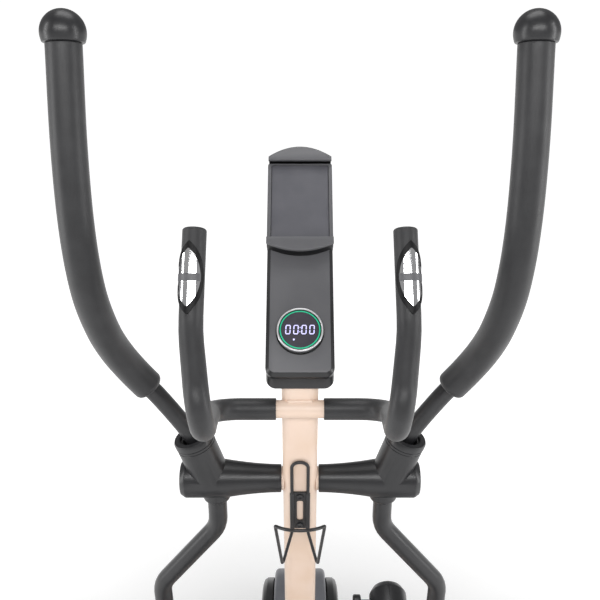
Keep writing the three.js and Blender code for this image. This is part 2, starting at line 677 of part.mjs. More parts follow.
function magnetBracket() {
  const { y, z, radius, left, right } = flywheel;
  const shape = new THREE.Shape();
  shape.absarc(y, z, radius + 12, 0.02 * Math.PI, 0.42 * Math.PI);
  shape.absarc(y, z, radius + 2.5, 0.42 * Math.PI, 0.02 * Math.PI, true);
  const shoe = plate(shape, left + 4, right - 4, 8);
  const tie = box([left - 4.1, y + 20, z + radius - 14], [right - 4, y + 34, z + radius + 8]);
  const clear = rod(1, left - 2, right + 2, radius + 2.5, y, z, 36);
  addPart('magnet_bracket', combine([shoe, tie], [clear]), castIron);
}

function housingOutline(inset) {
  return roundLink(
    { y: crank.y, z: crank.z, r: shell.radius - inset },
    { y: shell.frontY, z: shell.frontZ, r: shell.frontRadius - inset },
  );
}

function housingShells(name, side) {
  const { half, wall, notch } = shell;
  const outer = plate(housingOutline(0), side * GAP / 2, side * half, 10);
  const inner = plate(housingOutline(wall), -side, side * (half - wall), 10);
  const slot = alongMast(box([-notch, -mast.depth / 2 - 60, -250], [notch, mast.depth / 2 + 5, 500]), mast.bottom);
  const axleHole = rod(side, 5, half + 5, crank.axleRadius + 1.5, crank.y, crank.z);
  const slotHalf = sidePlate.outer + 1;
  const beamSlot = box([-slotHalf, 0, 0], [slotHalf, shell.frontY + 40, beam.bottom + beam.height + 16]);
  addPart(`housing_${name}`, combine([outer], [inner, slot, axleHole, beamSlot]), darkPlastic);
}

// ---------------------------------------------------------------- foot tubes and pedals
// Local frame of one side: y runs forward along the tube, z is up from it, origin on the joint.
function footGroup(side) {
  const pin = crankPin(side);
  const group = new THREE.Group();
  group.position.set(side * footTube.x, joint.y, joint.z);
  group.rotation.x = Math.atan2(pin.z - joint.z, pin.y - joint.y);
  group.userData.reach = Math.hypot(pin.z - joint.z, pin.y - joint.y);
  model.add(group);
  return group;
}

function along(length, radius, start, sides = 16) {
  return new THREE.CylinderGeometry(radius, radius, length, sides).translate(0, start + length / 2, 0);
}

function footTubePart(name, side, group) {
  const { reach } = group.userData;
  const { x, radius, bore, hubRadius, overhang, lugEnd } = footTube;
  const pinEnd = x - crank.outer - 0.5;
  addPart(`foot_tube_${name}`, combine([
    along(overhang + reach, radius, -overhang),
    rod(side, -26, 26, hubRadius, reach, 0, 20),
    rod(-side, 20, pinEnd, 9, reach, 0, 16),
    rod(side, 0, lugEnd - x, 20, 0, 0, 16),
    rod(side, 0, joint.bushOuter + 2 - x, joint.boltRadius, 0, 0, 16),
    rod(side, joint.bushOuter + 1 - x, joint.bushOuter + 9 - x, 13, 0, 0, 6),
  ], [
    along(overhang + reach - 40, bore, -overhang - 1, 12),
  ]), blackPaint, group);
}

function footTubeCover(name, side, group) {
  const { reach } = group.userData;
  const { radius, neck, wall } = footCover;
  const outline = (shrink, open) => [
    [0, reach - 88 - open], [neck - shrink, reach - 88 - open], [neck - shrink, reach - 44],
    [radius - 6 - shrink, reach - 34 + shrink], [radius - shrink, reach - 24 + shrink],
    [radius - shrink, reach + 20 - shrink], [radius - 7 - shrink, reach + 33 - shrink],
    [radius - 18 - shrink, reach + 40 - shrink], [0, reach + 42 - shrink],
  ].map(([r, y]) => new THREE.Vector2(r, y));
  const outer = new THREE.LatheGeometry(outline(0, 0), 16);
  const inner = new THREE.LatheGeometry(outline(wall, 2), 16);
  const pinHole = rod(-side, 20, 60, 12, reach, 0, 16);
  addPart(`joint_cover_${name}`, combine([outer], [inner, pinHole]), blackPlastic, group);
}

function pedalPart(name, group) {
  const { width, length, wall, rim, corner, base, start } = pedal;
  const outline = (inset) => roundedRect(width - 2 * inset, length - 2 * inset, corner - inset);
  const middle = -start - length / 2;
  const floor = footTube.radius + GAP;
  const tray = extrude(outline(0), rim, 3).translate(0, middle, floor);
  const hollow = extrude(outline(wall), rim, 3).translate(0, middle, floor + base);
  addPart(`pedal_${name}`, combine([tray], [hollow]), darkPlastic, group);
}

// ---------------------------------------------------------------- assembly
baseBeam();
stabiliserTube('rear_stabiliser', rearStabiliser.y, rearStabiliser.half);
stabiliserTube('front_stabiliser', frontStabiliser.y, frontStabiliser.half);
basePost();
mastTube();
fixedHandlebar();
consoleShells();
consoleDisplay();
phoneHolder();
bottleCage();
pivotAxle();
crankAxle();
flywheelParts();
driveBelt();
magnetBracket();
for (const [name, side] of SIDES) {
  rearFeet(name, side);
  frontFeet(name, side);
  transportWheel(name, side);
  handlebarFoam(name, side);
  pulseSensor(name, side);
  upperArmParts(name, side);
  lowerArmPart(name, side);
  pivotCovers(name, side);
  crankArm(name, side);
  crankDisc(name, side);
  sidePlates(name, side);
  housingShells(name, side);
  const group = footGroup(side);
  footTubePart(name, side, group);
  footTubeCover(name, side, group);
  pedalPart(name, group);
}

model.updateMatrixWorld(true);
const extent = new THREE.Box3().setFromObject(model, true);
model.position.set(0, -(extent.min.y + extent.max.y) / 2, -extent.min.z);

export default model;
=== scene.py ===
# Front-drive elliptical trainer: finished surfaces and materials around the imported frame.
# Sizes are millimetres until place(), spun(), tube(), slab() or MM turns them into metres.
# X is to the user's right, Y is forward, Z is up.
from math import acos, asin, atan2, cos, hypot, pi, radians, sin, sqrt, tan

import bmesh
import bpy
from mathutils import Matrix, Vector
from mathutils.geometry import interpolate_bezier


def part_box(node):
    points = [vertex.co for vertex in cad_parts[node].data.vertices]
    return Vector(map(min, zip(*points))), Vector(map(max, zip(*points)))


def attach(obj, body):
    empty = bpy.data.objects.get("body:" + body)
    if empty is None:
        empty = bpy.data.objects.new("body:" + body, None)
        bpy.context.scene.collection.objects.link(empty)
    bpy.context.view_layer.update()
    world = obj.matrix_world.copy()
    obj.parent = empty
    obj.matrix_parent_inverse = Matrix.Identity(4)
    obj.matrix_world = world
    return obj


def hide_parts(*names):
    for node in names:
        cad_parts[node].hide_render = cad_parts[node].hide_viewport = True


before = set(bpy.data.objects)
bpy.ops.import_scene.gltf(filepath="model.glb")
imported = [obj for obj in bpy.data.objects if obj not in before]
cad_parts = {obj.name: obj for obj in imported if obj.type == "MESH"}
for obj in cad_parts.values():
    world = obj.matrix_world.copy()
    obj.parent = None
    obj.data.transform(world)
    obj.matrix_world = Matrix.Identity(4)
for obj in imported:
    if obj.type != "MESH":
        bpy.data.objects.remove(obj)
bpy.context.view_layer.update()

MM = 0.001
SIDES = (("left", -1), ("right", 1))
SHARP = radians(32)
UP = Vector((0, 0, 1))
# Turns an outline's x and y into Y and Z, and its thickness into X.
ACROSS = Matrix(((0, 0, 1, 0), (1, 0, 0, 0), (0, 1, 0, 0), (0, 0, 0, 1)))

axle_low, axle_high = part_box("pivot_axle")
PIVOT = (axle_low + axle_high) / 2
PIVOT_Z = PIVOT.z / MM


def place(x, y, z):
    """A point: x to the right, y forward from the pivot axle, z up from the floor."""
    return Vector((x * MM, PIVOT.y + y * MM, z * MM))


# -------------------- camera and light
LENS, SENSOR_WIDTH, CLIP_END = 48, 36, 400
CAMERA_BACK, CAMERA_HEIGHT, CAMERA_TILT = 999.1, 1667.8, radians(68)
# Each soft box's place and size in metres, and its power in watts.
SOFT_BOXES = (
    ("soft_box_behind_camera", (0, -2.1, 2.75), (2.6, 0.45), 40),
    ("side_strip_left", (-2.3, -0.5, 1.7), (0.35, 2.4), 24),
    ("side_strip_right", (2.3, -0.5, 1.7), (0.35, 2.4), 24),
    ("soft_box_above", (0, 0.5, 3.6), (1.8, 1.2), 22),
)
LIGHT_TARGET = Vector((0, 0, 1.1))
WORLD_LIGHT, WORLD_SEEN = 0.3, 1.0
# The floor's reach each way, and where its glow starts and is full, in metres from the middle.
FLOOR_REACH, GLOW_START, GLOW_FULL, GLOW_STRENGTH = 150, 0.7, 1.7, 0.78


def make_camera():
    data = bpy.data.cameras.new("camera")
    data.lens = LENS
    data.sensor_width = SENSOR_WIDTH
    data.clip_end = CLIP_END
    camera = bpy.data.objects.new("camera", data)
    camera.location = place(0, -CAMERA_BACK, CAMERA_HEIGHT)
    camera.rotation_euler = (CAMERA_TILT, 0, 0)
    bpy.context.scene.collection.objects.link(camera)
    bpy.context.scene.camera = camera


def area_light(name, location, size, power):
    """A rectangular soft box turned towards LIGHT_TARGET."""
    data = bpy.data.lights.new(name, "AREA")
    data.shape = "RECTANGLE"
    data.size, data.size_y = size
    data.energy = power
    light = bpy.data.objects.new(name, data)
    light.location = location
    towards = LIGHT_TARGET - Vector(location)
    light.rotation_euler = towards.to_track_quat("-Z", "Y").to_euler()
    bpy.context.scene.collection.objects.link(light)


def make_light():
    """The soft boxes, and a white surround that is dimmer as a light than it looks."""
    for soft_box in SOFT_BOXES:
        area_light(*soft_box)
    world = bpy.data.worlds.new("studio")
    world.use_nodes = True
    tree = world.node_tree
    background = tree.nodes["Background"]
    background.inputs["Color"].default_value = (1, 1, 1, 1)
    seen = add_node(tree, "ShaderNodeLightPath").outputs["Is Camera Ray"]
    limits = {"To Min": WORLD_LIGHT, "To Max": WORLD_SEEN}
    strength = add_node(tree, "ShaderNodeMapRange", limits, {"Value": seen})
    tree.links.new(strength.outputs["Result"], background.inputs["Strength"])
    bpy.context.scene.world = world
    bpy.context.scene.view_settings.view_transform = "Standard"


# -------------------- material helpers
TONE_STOPS = (0.35, 0.65)


def linear(hex_colour):
    """An sRGB hex colour as linear RGBA."""
    channels = [int(hex_colour[i:i + 2], 16) / 255 for i in (1, 3, 5)]
    return [c / 12.92 if c <= 0.04045 else ((c + 0.055) / 1.055) ** 2.4 for c in channels] + [1.0]


def add_node(tree, kind, settings=None, links=None):
    """Adds a node, sets its sockets or properties, and links sockets of other nodes into it."""
    node = tree.nodes.new(kind)
    for key, value in (settings or {}).items():
        if key in node.inputs:
            node.inputs[key].default_value = value
        else:
            setattr(node, key, value)
    for key, source in (links or {}).items():
        tree.links.new(source, node.inputs[key])
    return node


def finish(name, slot, tones, mottle, grain, bump, rough, pattern="ShaderNodeTexNoise", **shader_settings):
    """A surface with two tones of colour, a grain in its gloss, and the same grain as relief.

    mottle and grain are the sizes of the patches and of the grain in millimetres, bump is the
    relief's depth in millimetres, and rough is the lowest and highest roughness.
    """
    material = bpy.data.materials.new(name)
    material.use_nodes = True
    material["slot"] = slot
    tree = material.node_tree
    shader = tree.nodes["Principled BSDF"]
    for key, value in shader_settings.items():
        shader.inputs[key.replace("_", " ")].default_value = value
    spot = add_node(tree, "ShaderNodeTexCoord").outputs["Object"]
    clouds = {"Scale": 1 / (mottle * MM), "Detail": 4}
    patches = add_node(tree, "ShaderNodeTexNoise", clouds, {"Vector": spot})
    ramp = add_node(tree, "ShaderNodeValToRGB", links={"Fac": patches.outputs["Fac"]})
    for element, tone, stop in zip(ramp.color_ramp.elements, tones, TONE_STOPS):
        element.color = linear(tone)
        element.position = stop
    tree.links.new(ramp.outputs["Color"], shader.inputs["Base Color"])
    relief = add_node(tree, pattern, {"Scale": 1 / (grain * MM)}, {"Vector": spot})
    height = relief.outputs["Fac" if pattern == "ShaderNodeTexNoise" else "Distance"]
    limits = {"To Min": rough[0], "To Max": rough[1]}
    gloss = add_node(tree, "ShaderNodeMapRange", limits, {"Value": height})
    tree.links.new(gloss.outputs["Result"], shader.inputs["Roughness"])
    depth = {"Strength": 1.0, "Distance": bump * MM}
    relief_bump = add_node(tree, "ShaderNodeBump", depth, {"Height": height})
    tree.links.new(relief_bump.outputs["Normal"], shader.inputs["Normal"])
    return material


# -------------------- materials
# Moulded, coated and machined skins really have a grain of about 0.05 to 0.5 mm, too fine to show,
# so it is drawn 0.7 to 1.4 mm wide. Orange peel, cast iron and the hazes of chrome, acrylic and
# lit parts are wider.

# Polyester powder coat on steel: satin, with a faint orange-peel ripple.
CREAM = finish("cream_powder_coat", "cream_paint", ("#E0C6B1", "#E5CEBD"), 60, 2.2, 0.03, (0.32, 0.44))
# Fine-texture black powder coat on bent tube: a soft, slightly broken highlight.
BLACK_PAINT = finish("black_powder_coat", "black_paint", ("#1F1F21", "#262628"), 30, 1.1, 0.03, (0.3, 0.42))
# Injection-moulded ABS with a spark-eroded grain: even near-black with a broad sheen.
ABS = finish("moulded_abs", "black_plastic", ("#1E1E20", "#252527"), 45, 1.0, 0.02, (0.3, 0.4))
# Satin-moulded ABS of the console: mid-grey with the finest grain.
SATIN = finish("satin_abs", "satin_plastic", ("#535356", "#59595C"), 55, 0.9, 0.012, (0.38, 0.48))
# Moulded ABS of the drive housing: cool grey, coarser grain.
HOUSING = finish("housing_abs", "satin_plastic", ("#5C5D62", "#636469"), 50, 1.2, 0.03, (0.38, 0.5))
# Near-black ABS with a weak specular: the real black of the pulse sensors' frames and the display's lens, and
# painted shade in the lips' cores and the display's seat.
BLACK_ABS_AND_SHADE = finish("black_abs_and_painted_shade", "black_plastic", ("#08080A", "#0D0D0F"), 40, 1.0, 0.01, (0.4, 0.5),
              Specular_IOR_Level=0.2)
# Soft-touch rubber paint on the phone pad: matt dark grey, a little blue.
PAD = finish("soft_touch_pad", "satin_plastic", ("#4B4B51", "#525258"), 35, 0.9, 0.015, (0.5, 0.6))
# Closed-cell foam grip with a moulded skin: matt black with small pores.
FOAM = finish("closed_cell_foam", "grip_foam", ("#1D1D1F", "#252527"), 25, 1.3, 0.04, (0.4, 0.55),
              "ShaderNodeTexVoronoi", Sheen_Weight=0.15)
# Chromium plate over steel: a mirror with the faintest haze.
CHROME = finish("chrome_plate", "chrome", ("#F0F0F2", "#F7F7F8"), 20, 3.0, 0.004, (0.05, 0.1), Metallic=1.0)
# Anodised aluminium ring, turned: bright silver with a faint even grain.
ALUMINIUM = finish("turned_aluminium", "chrome", ("#DDDDDF", "#E8E8EA"), 8, 0.7, 0.002, (0.32, 0.38),
                   Metallic=1.0)
# Moulded rubber of feet and wheels: deep matt black.
RUBBER = finish("moulded_rubber", "rubber", ("#1B1B1C", "#222223"), 18, 1.4, 0.06, (0.7, 0.9))
# Zinc-plated machined steel: cool grey with a fine grain.
STEEL = finish("machined_steel", "plain_steel", ("#A6A8AC", "#B8BABD"), 15, 1.0, 0.01, (0.24, 0.38),
               Metallic=1.0)
# Sand-cast iron: dull dark grey with a rough skin.
IRON = finish("sand_cast_iron", "cast_iron", ("#4C4D50", "#5B5C60"), 12, 2.4, 0.25, (0.55, 0.75),
              Metallic=0.8)
# Smoked acrylic display window: glossy dark violet-grey.
GLASS = finish("smoked_acrylic", "display_glass", ("#3C3941", "#434048"), 30, 4.0, 0.002, (0.12, 0.2),
               IOR=1.49)
# Lit ring of clear acrylic: an even green glow.
GREEN = finish("green_light_pipe", "display_glass", ("#0E8A66", "#149A73"), 10, 2.0, 0.005, (0.3, 0.4),
               Emission_Color=linear("#16B184"), Emission_Strength=0.5)
# Display segments lit from behind: pale lilac white.
DIGIT = finish("lit_segment", "display_glass", ("#B9B5EA", "#C9C6F5"), 5, 1.5, 0.002, (0.3, 0.4),
               Emission_Color=linear("#CFCBFF"), Emission_Strength=0.7)
# Glass-fibre board with solder mask: green with a fine uneven grain.
BOARD = finish("circuit_board", "board", ("#1B5E3D", "#23704B"), 9, 0.8, 0.02, (0.35, 0.5))


def studio_floor():
    """Seamless white paper, lit from below where it runs away from the object."""
    material = finish("studio_floor", None, ("#F6F6F6", "#F9F9F9"), 900, 60, 0.01, (0.8, 0.9),
                      Emission_Color=linear("#FFFFFF"))
    tree = material.node_tree
    spot = add_node(tree, "ShaderNodeTexCoord").outputs["Object"]
    length = add_node(tree, "ShaderNodeVectorMath", {"operation": "LENGTH"}, {"Vector": spot})
    limits = {"From Min": GLOW_START, "From Max": GLOW_FULL, "To Max": GLOW_STRENGTH}
    glow = add_node(tree, "ShaderNodeMapRange", limits, {"Value": length.outputs["Value"]})
    tree.links.new(glow.outputs["Result"], tree.nodes["Principled BSDF"].inputs["Emission Strength"])
    return material


# -------------------- shapes
# Points closer than this are one point, edges shorter than this are none, in metres.
MERGE_WITHIN, SHORTEST_EDGE = 2e-6, 1e-6
# A bend takes no more than this share of the straight run on either side of it.
BEND_SHARE = 0.48


def arc(x, y, radius, start, end, steps=8):
    """Points of an arc in degrees, both ends kept."""
    angles = [radians(start + (end - start) * i / steps) for i in range(steps + 1)]
    return [(x + radius * cos(a), y + radius * sin(a)) for a in angles]


def rounded_box(width, height, corner, x=0.0, y=0.0):
    """The outline of a rectangle with round corners."""
    dx, dy = width / 2 - corner, height / 2 - corner
    quarters = ((dx, dy, 0), (-dx, dy, 90), (-dx, -dy, 180), (dx, -dy, 270))
    return [point for cx, cy, start in quarters for point in arc(x + cx, y + cy, corner, start, start + 90)]


def round_link(first, second, steps=40):
    """The outline round two circles, each (x, y, radius), joined by straight tangents."""
    angle = atan2(second[1] - first[1], second[0] - first[0])
    lean = acos((first[2] - second[2]) / hypot(second[0] - first[0], second[1] - first[1]))
    angle, lean = angle * 180 / pi, lean * 180 / pi
    return (arc(*first, angle + lean, angle - lean + 360, steps)
            + arc(*second, angle - lean, angle + lean, steps))


def bent_path(corners, radii, step=radians(9)):
    """Straight runs between corners, with each inner corner turned on its own radius."""
    points = [corners[0]]
    for before, corner, after, radius in zip(corners, corners[1:], corners[2:], radii):
        back = (before - corner).normalized()
        ahead = (after - corner).normalized()
        turn = pi - back.angle(ahead)
        if turn < radians(1):
            points.append(corner)
            continue
        shortest = min((before - corner).length, (after - corner).length)
        run = min(radius * tan(turn / 2), BEND_SHARE * shortest)
        radius = run / tan(turn / 2)
        centre = corner + (back + ahead).normalized() * radius / cos(turn / 2)
        axis = ahead.cross(back).normalized()
        steps = max(2, int(turn / step))
        first = corner + back * run - centre
        points += [centre + Matrix.Rotation(turn * s / steps, 3, axis) @ first for s in range(steps + 1)]
    return points + [corners[-1]]


def eased(profile, radius):
    """A turned profile of (radius, height) corners with every inner corner rounded."""
    corners = [Vector((r, h, 0)) for r, h in profile]
    return [(p.x, p.y) for p in bent_path(corners, [radius] * (len(corners) - 2), radians(20))]


def smooth_path(knots, steps=8):
    """A smooth curve through the knots."""
    last = len(knots) - 1
    tangents = [(knots[min(i + 1, last)] - knots[max(i - 1, 0)]).normalized() for i in range(last + 1)]
    points = []
    for i in range(last):
        start, end = knots[i], knots[i + 1]
        reach = (end - start).length / 3
        leaving, arriving = start + tangents[i] * reach, end - tangents[i + 1] * reach
        points += interpolate_bezier(start, leaving, arriving, end, steps + 1)[:-1]
    return points + [knots[last]]


def close_up(bm):
    """Merges doubled points, drops flat slivers and turns the faces outwards."""
    bmesh.ops.remove_doubles(bm, verts=bm.verts, dist=MERGE_WITHIN)
    bmesh.ops.dissolve_degenerate(bm, edges=bm.edges, dist=SHORTEST_EDGE)
    bmesh.ops.recalc_face_normals(bm, faces=bm.faces)
    return bm


def spun(profile, centre, axis, steps=64):
    """A turned solid: (radius, height) corners spun round an axis through the centre."""
    bm = bmesh.new()
    verts = [bm.verts.new((r * MM, 0, h * MM)) for r, h in profile]
    edges = [bm.edges.new(pair) for pair in zip(verts, verts[1:])]
    bmesh.ops.spin(bm, geom=verts + edges, axis=(0, 0, 1), angle=2 * pi, steps=steps, use_merge=True)
    close_up(bm)
    bm.transform(Matrix.Translation(centre) @ axis.to_track_quat("Z", "Y").to_matrix().to_4x4())
    return bm


def rod(radius, low, high, centre, axis, ease=0.6, steps=48):
    """A round bar from low to high along an axis, with eased ends."""
    return spun(eased([(0, low), (radius, low), (radius, high), (0, high)], ease), centre, axis, steps)


def ring(inner, outer, low, high, centre, axis, ease=0.6, steps=64):
    """A turned ring with a hole."""
    middle = (low + high) / 2
    corners = [(inner, middle), (inner, low), (outer, low), (outer, high), (inner, high), (inner, middle)]
    return spun(eased(corners, ease), centre, axis, steps)


def tube(path, radius, round_start=0.0, round_end=0.0, sides=8):
    """A round bar along a path of points in metres, with its ends rounded by the given amounts."""
    ends = []
    for points, amount in ((path, round_start), (path[::-1], round_end)):
        inward = (points[1] - points[0]).normalized()
        steps = [radians(90 * i / 5) for i in range(6)] if amount else []
        ends.append([(points[0] + inward * amount * MM * (1 - cos(a)), 1 - amount * (1 - sin(a)) / radius)
                     for a in steps])
    clear = [max(round_start, 0.01) * MM, max(round_end, 0.01) * MM]
    inside = [(p, 1.0) for p in path[1:-1]
              if (p - path[0]).length > clear[0] and (p - path[-1]).length > clear[1]]
    start = ends[0] or [(path[0], 1.0)]
    end = ends[1][::-1] or [(path[-1], 1.0)]
    stations = start + inside + end
    curve = bpy.data.curves.new("path", "CURVE")
    curve.dimensions = "3D"
    curve.bevel_depth = radius * MM
    curve.bevel_resolution = sides
    curve.use_fill_caps = True
    spline = curve.splines.new("POLY")
    spline.points.add(len(stations) - 1)
    for point, (spot, factor) in zip(spline.points, stations):
        point.co = (*spot, 1)
        point.radius = factor
    holder = bpy.data.objects.new("path", curve)
    mesh = bpy.data.meshes.new_from_object(holder)
    bm = bmesh.new()
    bm.from_mesh(mesh)
    bpy.data.objects.remove(holder)
    bpy.data.curves.remove(curve)
    bpy.data.meshes.remove(mesh)
    return close_up(bm)


def slab(outline, low, high, turn=Matrix(), ease_top=0.0, ease_bottom=0.0, segments=3):
    """A flat outline made thick from low to high, its two rims rounded, then turned into place."""
    bm = bmesh.new()
    face = bm.faces.new([bm.verts.new((x * MM, y * MM, low * MM)) for x, y in outline])
    raised = bmesh.ops.extrude_face_region(bm, geom=[face])["geom"]
    top = [item for item in raised if isinstance(item, bmesh.types.BMVert)]
    bmesh.ops.translate(bm, verts=top, vec=(0, 0, (high - low) * MM))
    close_up(bm)
    for level, ease in ((high, ease_top), (low, ease_bottom)):
        rim = [e for e in bm.edges if all(abs(v.co.z - level * MM) < 1e-7 for v in e.verts)]
        if ease:
            bmesh.ops.bevel(bm, geom=rim, offset=ease * MM, segments=segments, profile=0.5,
                            affect="EDGES", material=-1, clamp_overlap=True)
    bm.transform(turn)
    return bm


def as_object(bm, name="tool"):
    """Turns a bmesh into an object of the scene, and frees the bmesh."""
    mesh = bpy.data.meshes.new(name)
    bm.to_mesh(mesh)
    bm.free()
    holder = bpy.data.objects.new(name, mesh)
    bpy.context.scene.collection.objects.link(holder)
    return holder


def carved(bm, tools, operation="DIFFERENCE"):
    """The shape with the tools taken out of it, or joined to it."""
    subject = as_object(bm)
    holders = [as_object(tool) for tool in tools]
    for holder in holders:
        modifier = subject.modifiers.new("carve", "BOOLEAN")
        modifier.operation = operation
        modifier.solver = "EXACT"
        modifier.object = holder
    graph = bpy.context.evaluated_depsgraph_get()
    mesh = bpy.data.meshes.new_from_object(subject.evaluated_get(graph))
    result = bmesh.new()
    result.from_mesh(mesh)
    for holder in [subject] + holders:
        bpy.data.objects.remove(holder)
    bpy.data.meshes.remove(mesh)
    return result


def half_of(bm, point, direction, gap=0.35):
    """The half of a closed shape that lies on the side that direction points to."""
    half = bm.copy()
    cut = bmesh.ops.bisect_plane(half, geom=half.verts[:] + half.edges[:] + half.faces[:], dist=1e-7,
                                 plane_co=point + direction * gap * MM, plane_no=direction, clear_inner=True)
    rim = [item for item in cut["geom_cut"] if isinstance(item, bmesh.types.BMEdge)]
    bmesh.ops.holes_fill(half, edges=rim, sides=0)
    bmesh.ops.recalc_face_normals(half, faces=half.faces)
    return half


def piece(name, body, parts, stands_for=()):
    """One finished object made of (shape, material) parts; it rides on a body of the frame."""
    whole = bmesh.new()
    materials = []
    for bm, material in parts:
        if material not in materials:
            materials.append(material)
        for face in bm.faces:
            face.smooth = True
            face.material_index = materials.index(material)
        for edge in bm.edges:
            edge.smooth = edge.calc_face_angle(pi) < SHARP
        part_mesh = bpy.data.meshes.new("part")
        bm.to_mesh(part_mesh)
        bm.free()
        whole.from_mesh(part_mesh)
        bpy.data.meshes.remove(part_mesh)
    made = as_object(whole, name)
    for material in materials:
        made.data.materials.append(material)
    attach(made, body)
    if stands_for:
        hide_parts(*stands_for)
    return made


# -------------------- mast and fixed handlebar
LEAN = radians(12.3)
MAST_Y, MAST_SIZE, MAST_CORNER = 4, 50, 14
MAST_BOTTOM, MAST_TOP = 255, 1190
BAR_RADIUS, FOAM_RADIUS, FOAM_START = 12.2, 14.8, 32
HALF_BAR = ((0, -56, 1128.5), (121, -56, 1128.5), (108, -252, 1203), (129, -140, 1281), (126.3, -78, 1388))
BAR_BENDS = [bend * MM for bend in (42, 40, 78)]
WELD_HALF, WELD_RADIUS, WELDS_ABOVE_BAR = 17, 3.2, (11.5, -11.8)
BOSS_INNER, BOSS_OUTER, BOSS_START, BOSS_END = 13.2, 17.6, 23, 27.2
# A pulse sensor's leaves: length, width, radius of the bend and thickness, then where each is cut.
FRAME_LEAF, PLATE_LEAF, BAND_LEAF = (88, 42, 17.2, 3.2), (70, 32, 18.4, 1.6), (70, 33, 18.0, 1.2)
PLATE_SPANS, BAND_SPAN = ((-0.98, -0.13), (0.13, 0.98)), (-0.15, 0.15)
SENSOR_ALONG, SENSOR_OUTWARD = 62, 0.2


def mast_y(z):
    """How far forward of the pivot the leaning mast's centre is at height z."""
    return MAST_Y - (z - PIVOT_Z) * tan(LEAN)


def on_mast(z):
    """Turns a shape drawn round Z so that it runs up the mast from height z."""
    return Matrix.Translation(place(0, mast_y(z), z)) @ Matrix.Rotation(LEAN, 4, "X")


def make_mast():
    length = (MAST_TOP - MAST_BOTTOM) / cos(LEAN)
    shaft = slab(rounded_box(MAST_SIZE, MAST_SIZE, MAST_CORNER), 0, length, on_mast(MAST_BOTTOM), 0.5, 0.5)
    face = MAST_SIZE / 2 / cos(LEAN)
    welds = []
    for above in WELDS_ABOVE_BAR:
        z = HALF_BAR[0][2] + above
        ends = [place(x, mast_y(z) - face - 0.4, z) for x in (-WELD_HALF, WELD_HALF)]
        welds.append((tube(ends, WELD_RADIUS, 2, 2, 4), CREAM))
    bosses = []
    for _, side in SIDES:
        boss = ring(BOSS_INNER, BOSS_OUTER, BOSS_START, BOSS_END, PIVOT, Vector((side, 0, 0)))
        bosses.append((boss, CREAM))
    piece("mast_tube", "frame", [(shaft, CREAM)] + welds + bosses, ["mast"])


def bar_corners(side, start):
    """The corners of one half of the handlebar, from a distance off the middle."""
    corners = [place(side * x, y, z) for x, y, z in HALF_BAR]
    corners[0].x = side * start * MM
    return corners


def make_fixed_handlebar():
    """One bent tube, its ends 4 mm inside the grips' ends, and a foam grip on each side."""
    left = bent_path(bar_corners(-1, 0), BAR_BENDS)[::-1]
    right = bent_path(bar_corners(1, 0), BAR_BENDS)
    for half in (left[0:2][::-1], right[-2:]):
        half[1] += (half[0] - half[1]).normalized() * 4 * MM
    piece("handlebar_tube", "frame", [(tube(left[:-1] + right, BAR_RADIUS), CREAM)], ["fixed_handlebar"])
    for name, side in SIDES:
        sleeve = tube(bent_path(bar_corners(side, FOAM_START), BAR_BENDS), FOAM_RADIUS, 1.2, 3.5, 10)
        piece(f"handlebar_grip_{name}", "frame", [(sleeve, FOAM)], [f"handlebar_foam_{name}"])


def leaf(length, width, radius, thickness, low=-1.0, high=1.0):
    """A pointed oval patch bent round a bar along Y; low and high cut it short of its tips."""
    bm = bmesh.new()
    bmesh.ops.create_grid(bm, x_segments=18, y_segments=36, size=1)
    blade = (length ** 2 + width ** 2) / (4 * width)
    for vert in bm.verts:
        along = (low + (high - low) * (vert.co.y + 1) / 2) * length / 2
        half = sqrt(max(blade ** 2 - along ** 2, 0)) - blade + width / 2
        angle = vert.co.x * max(half, 0) / radius
        vert.co = Vector((radius * sin(angle), along, radius * cos(angle))) * MM
    bmesh.ops.remove_doubles(bm, verts=bm.verts, dist=MERGE_WITHIN)
    bmesh.ops.recalc_face_normals(bm, faces=bm.faces)
    if sum((face.normal.z for face in bm.faces)) < 0:
        bmesh.ops.reverse_faces(bm, faces=bm.faces)
    bmesh.ops.solidify(bm, geom=bm.faces, thickness=thickness * MM)
    return close_up(bm)


def make_pulse_sensors():
    for name, side in SIDES:
        corners = bar_corners(side, 0)
        along = (corners[4] - corners[3]).normalized()
        facing = Vector((side * SENSOR_OUTWARD, -1, 0))
        facing = (facing - along * facing.dot(along)).normalized()
        turn = Matrix((along.cross(facing), along, facing)).transposed().to_4x4()
        turn = Matrix.Translation(corners[3] + along * SENSOR_ALONG * MM) @ turn
        bezel = leaf(*FRAME_LEAF)
        plates = [leaf(*PLATE_LEAF, *span) for span in PLATE_SPANS]
        band = leaf(*BAND_LEAF, *BAND_SPAN)
        for shape in [bezel, band] + plates:
            shape.transform(turn)
        plated = [(plate, CHROME) for plate in plates]
        piece(f"pulse_frame_{name}", "frame", [(bezel, BLACK_ABS_AND_SHADE), (band, SATIN)], [f"pulse_bezel_{name}"])
        piece(f"pulse_contacts_{name}", "frame", plated, [f"pulse_plate_{name}"])


# -------------------- console
CONSOLE = Matrix.Translation(place(0, -76, 1189)) @ Matrix.Rotation(radians(44), 4, "X")
CONSOLE_WIDTH, CONSOLE_LENGTH, CONSOLE_DEPTH, SPLIT = 91, 345, 38, 14
CONSOLE_CORNER, CONSOLE_ARCH, ARCH_SHARE = 13.0, 17.0, 0.97
FACE_CHAMFER, FACE_PROUD, CHIN, CHIN_LIFT = 4.5, 0.6, 9.5, 7
SHELF_LOW, HOLDER_LOW, HOLDER_HIGH, HOLDER_PROUD = 173, 186, 321.5, 0.8
PAD_WIDTH, PAD_LENGTH, PAD_MIDDLE = 81.2, 121.5, 257
POCKET_WIDTH, POCKET_LENGTH = 82.4, 122
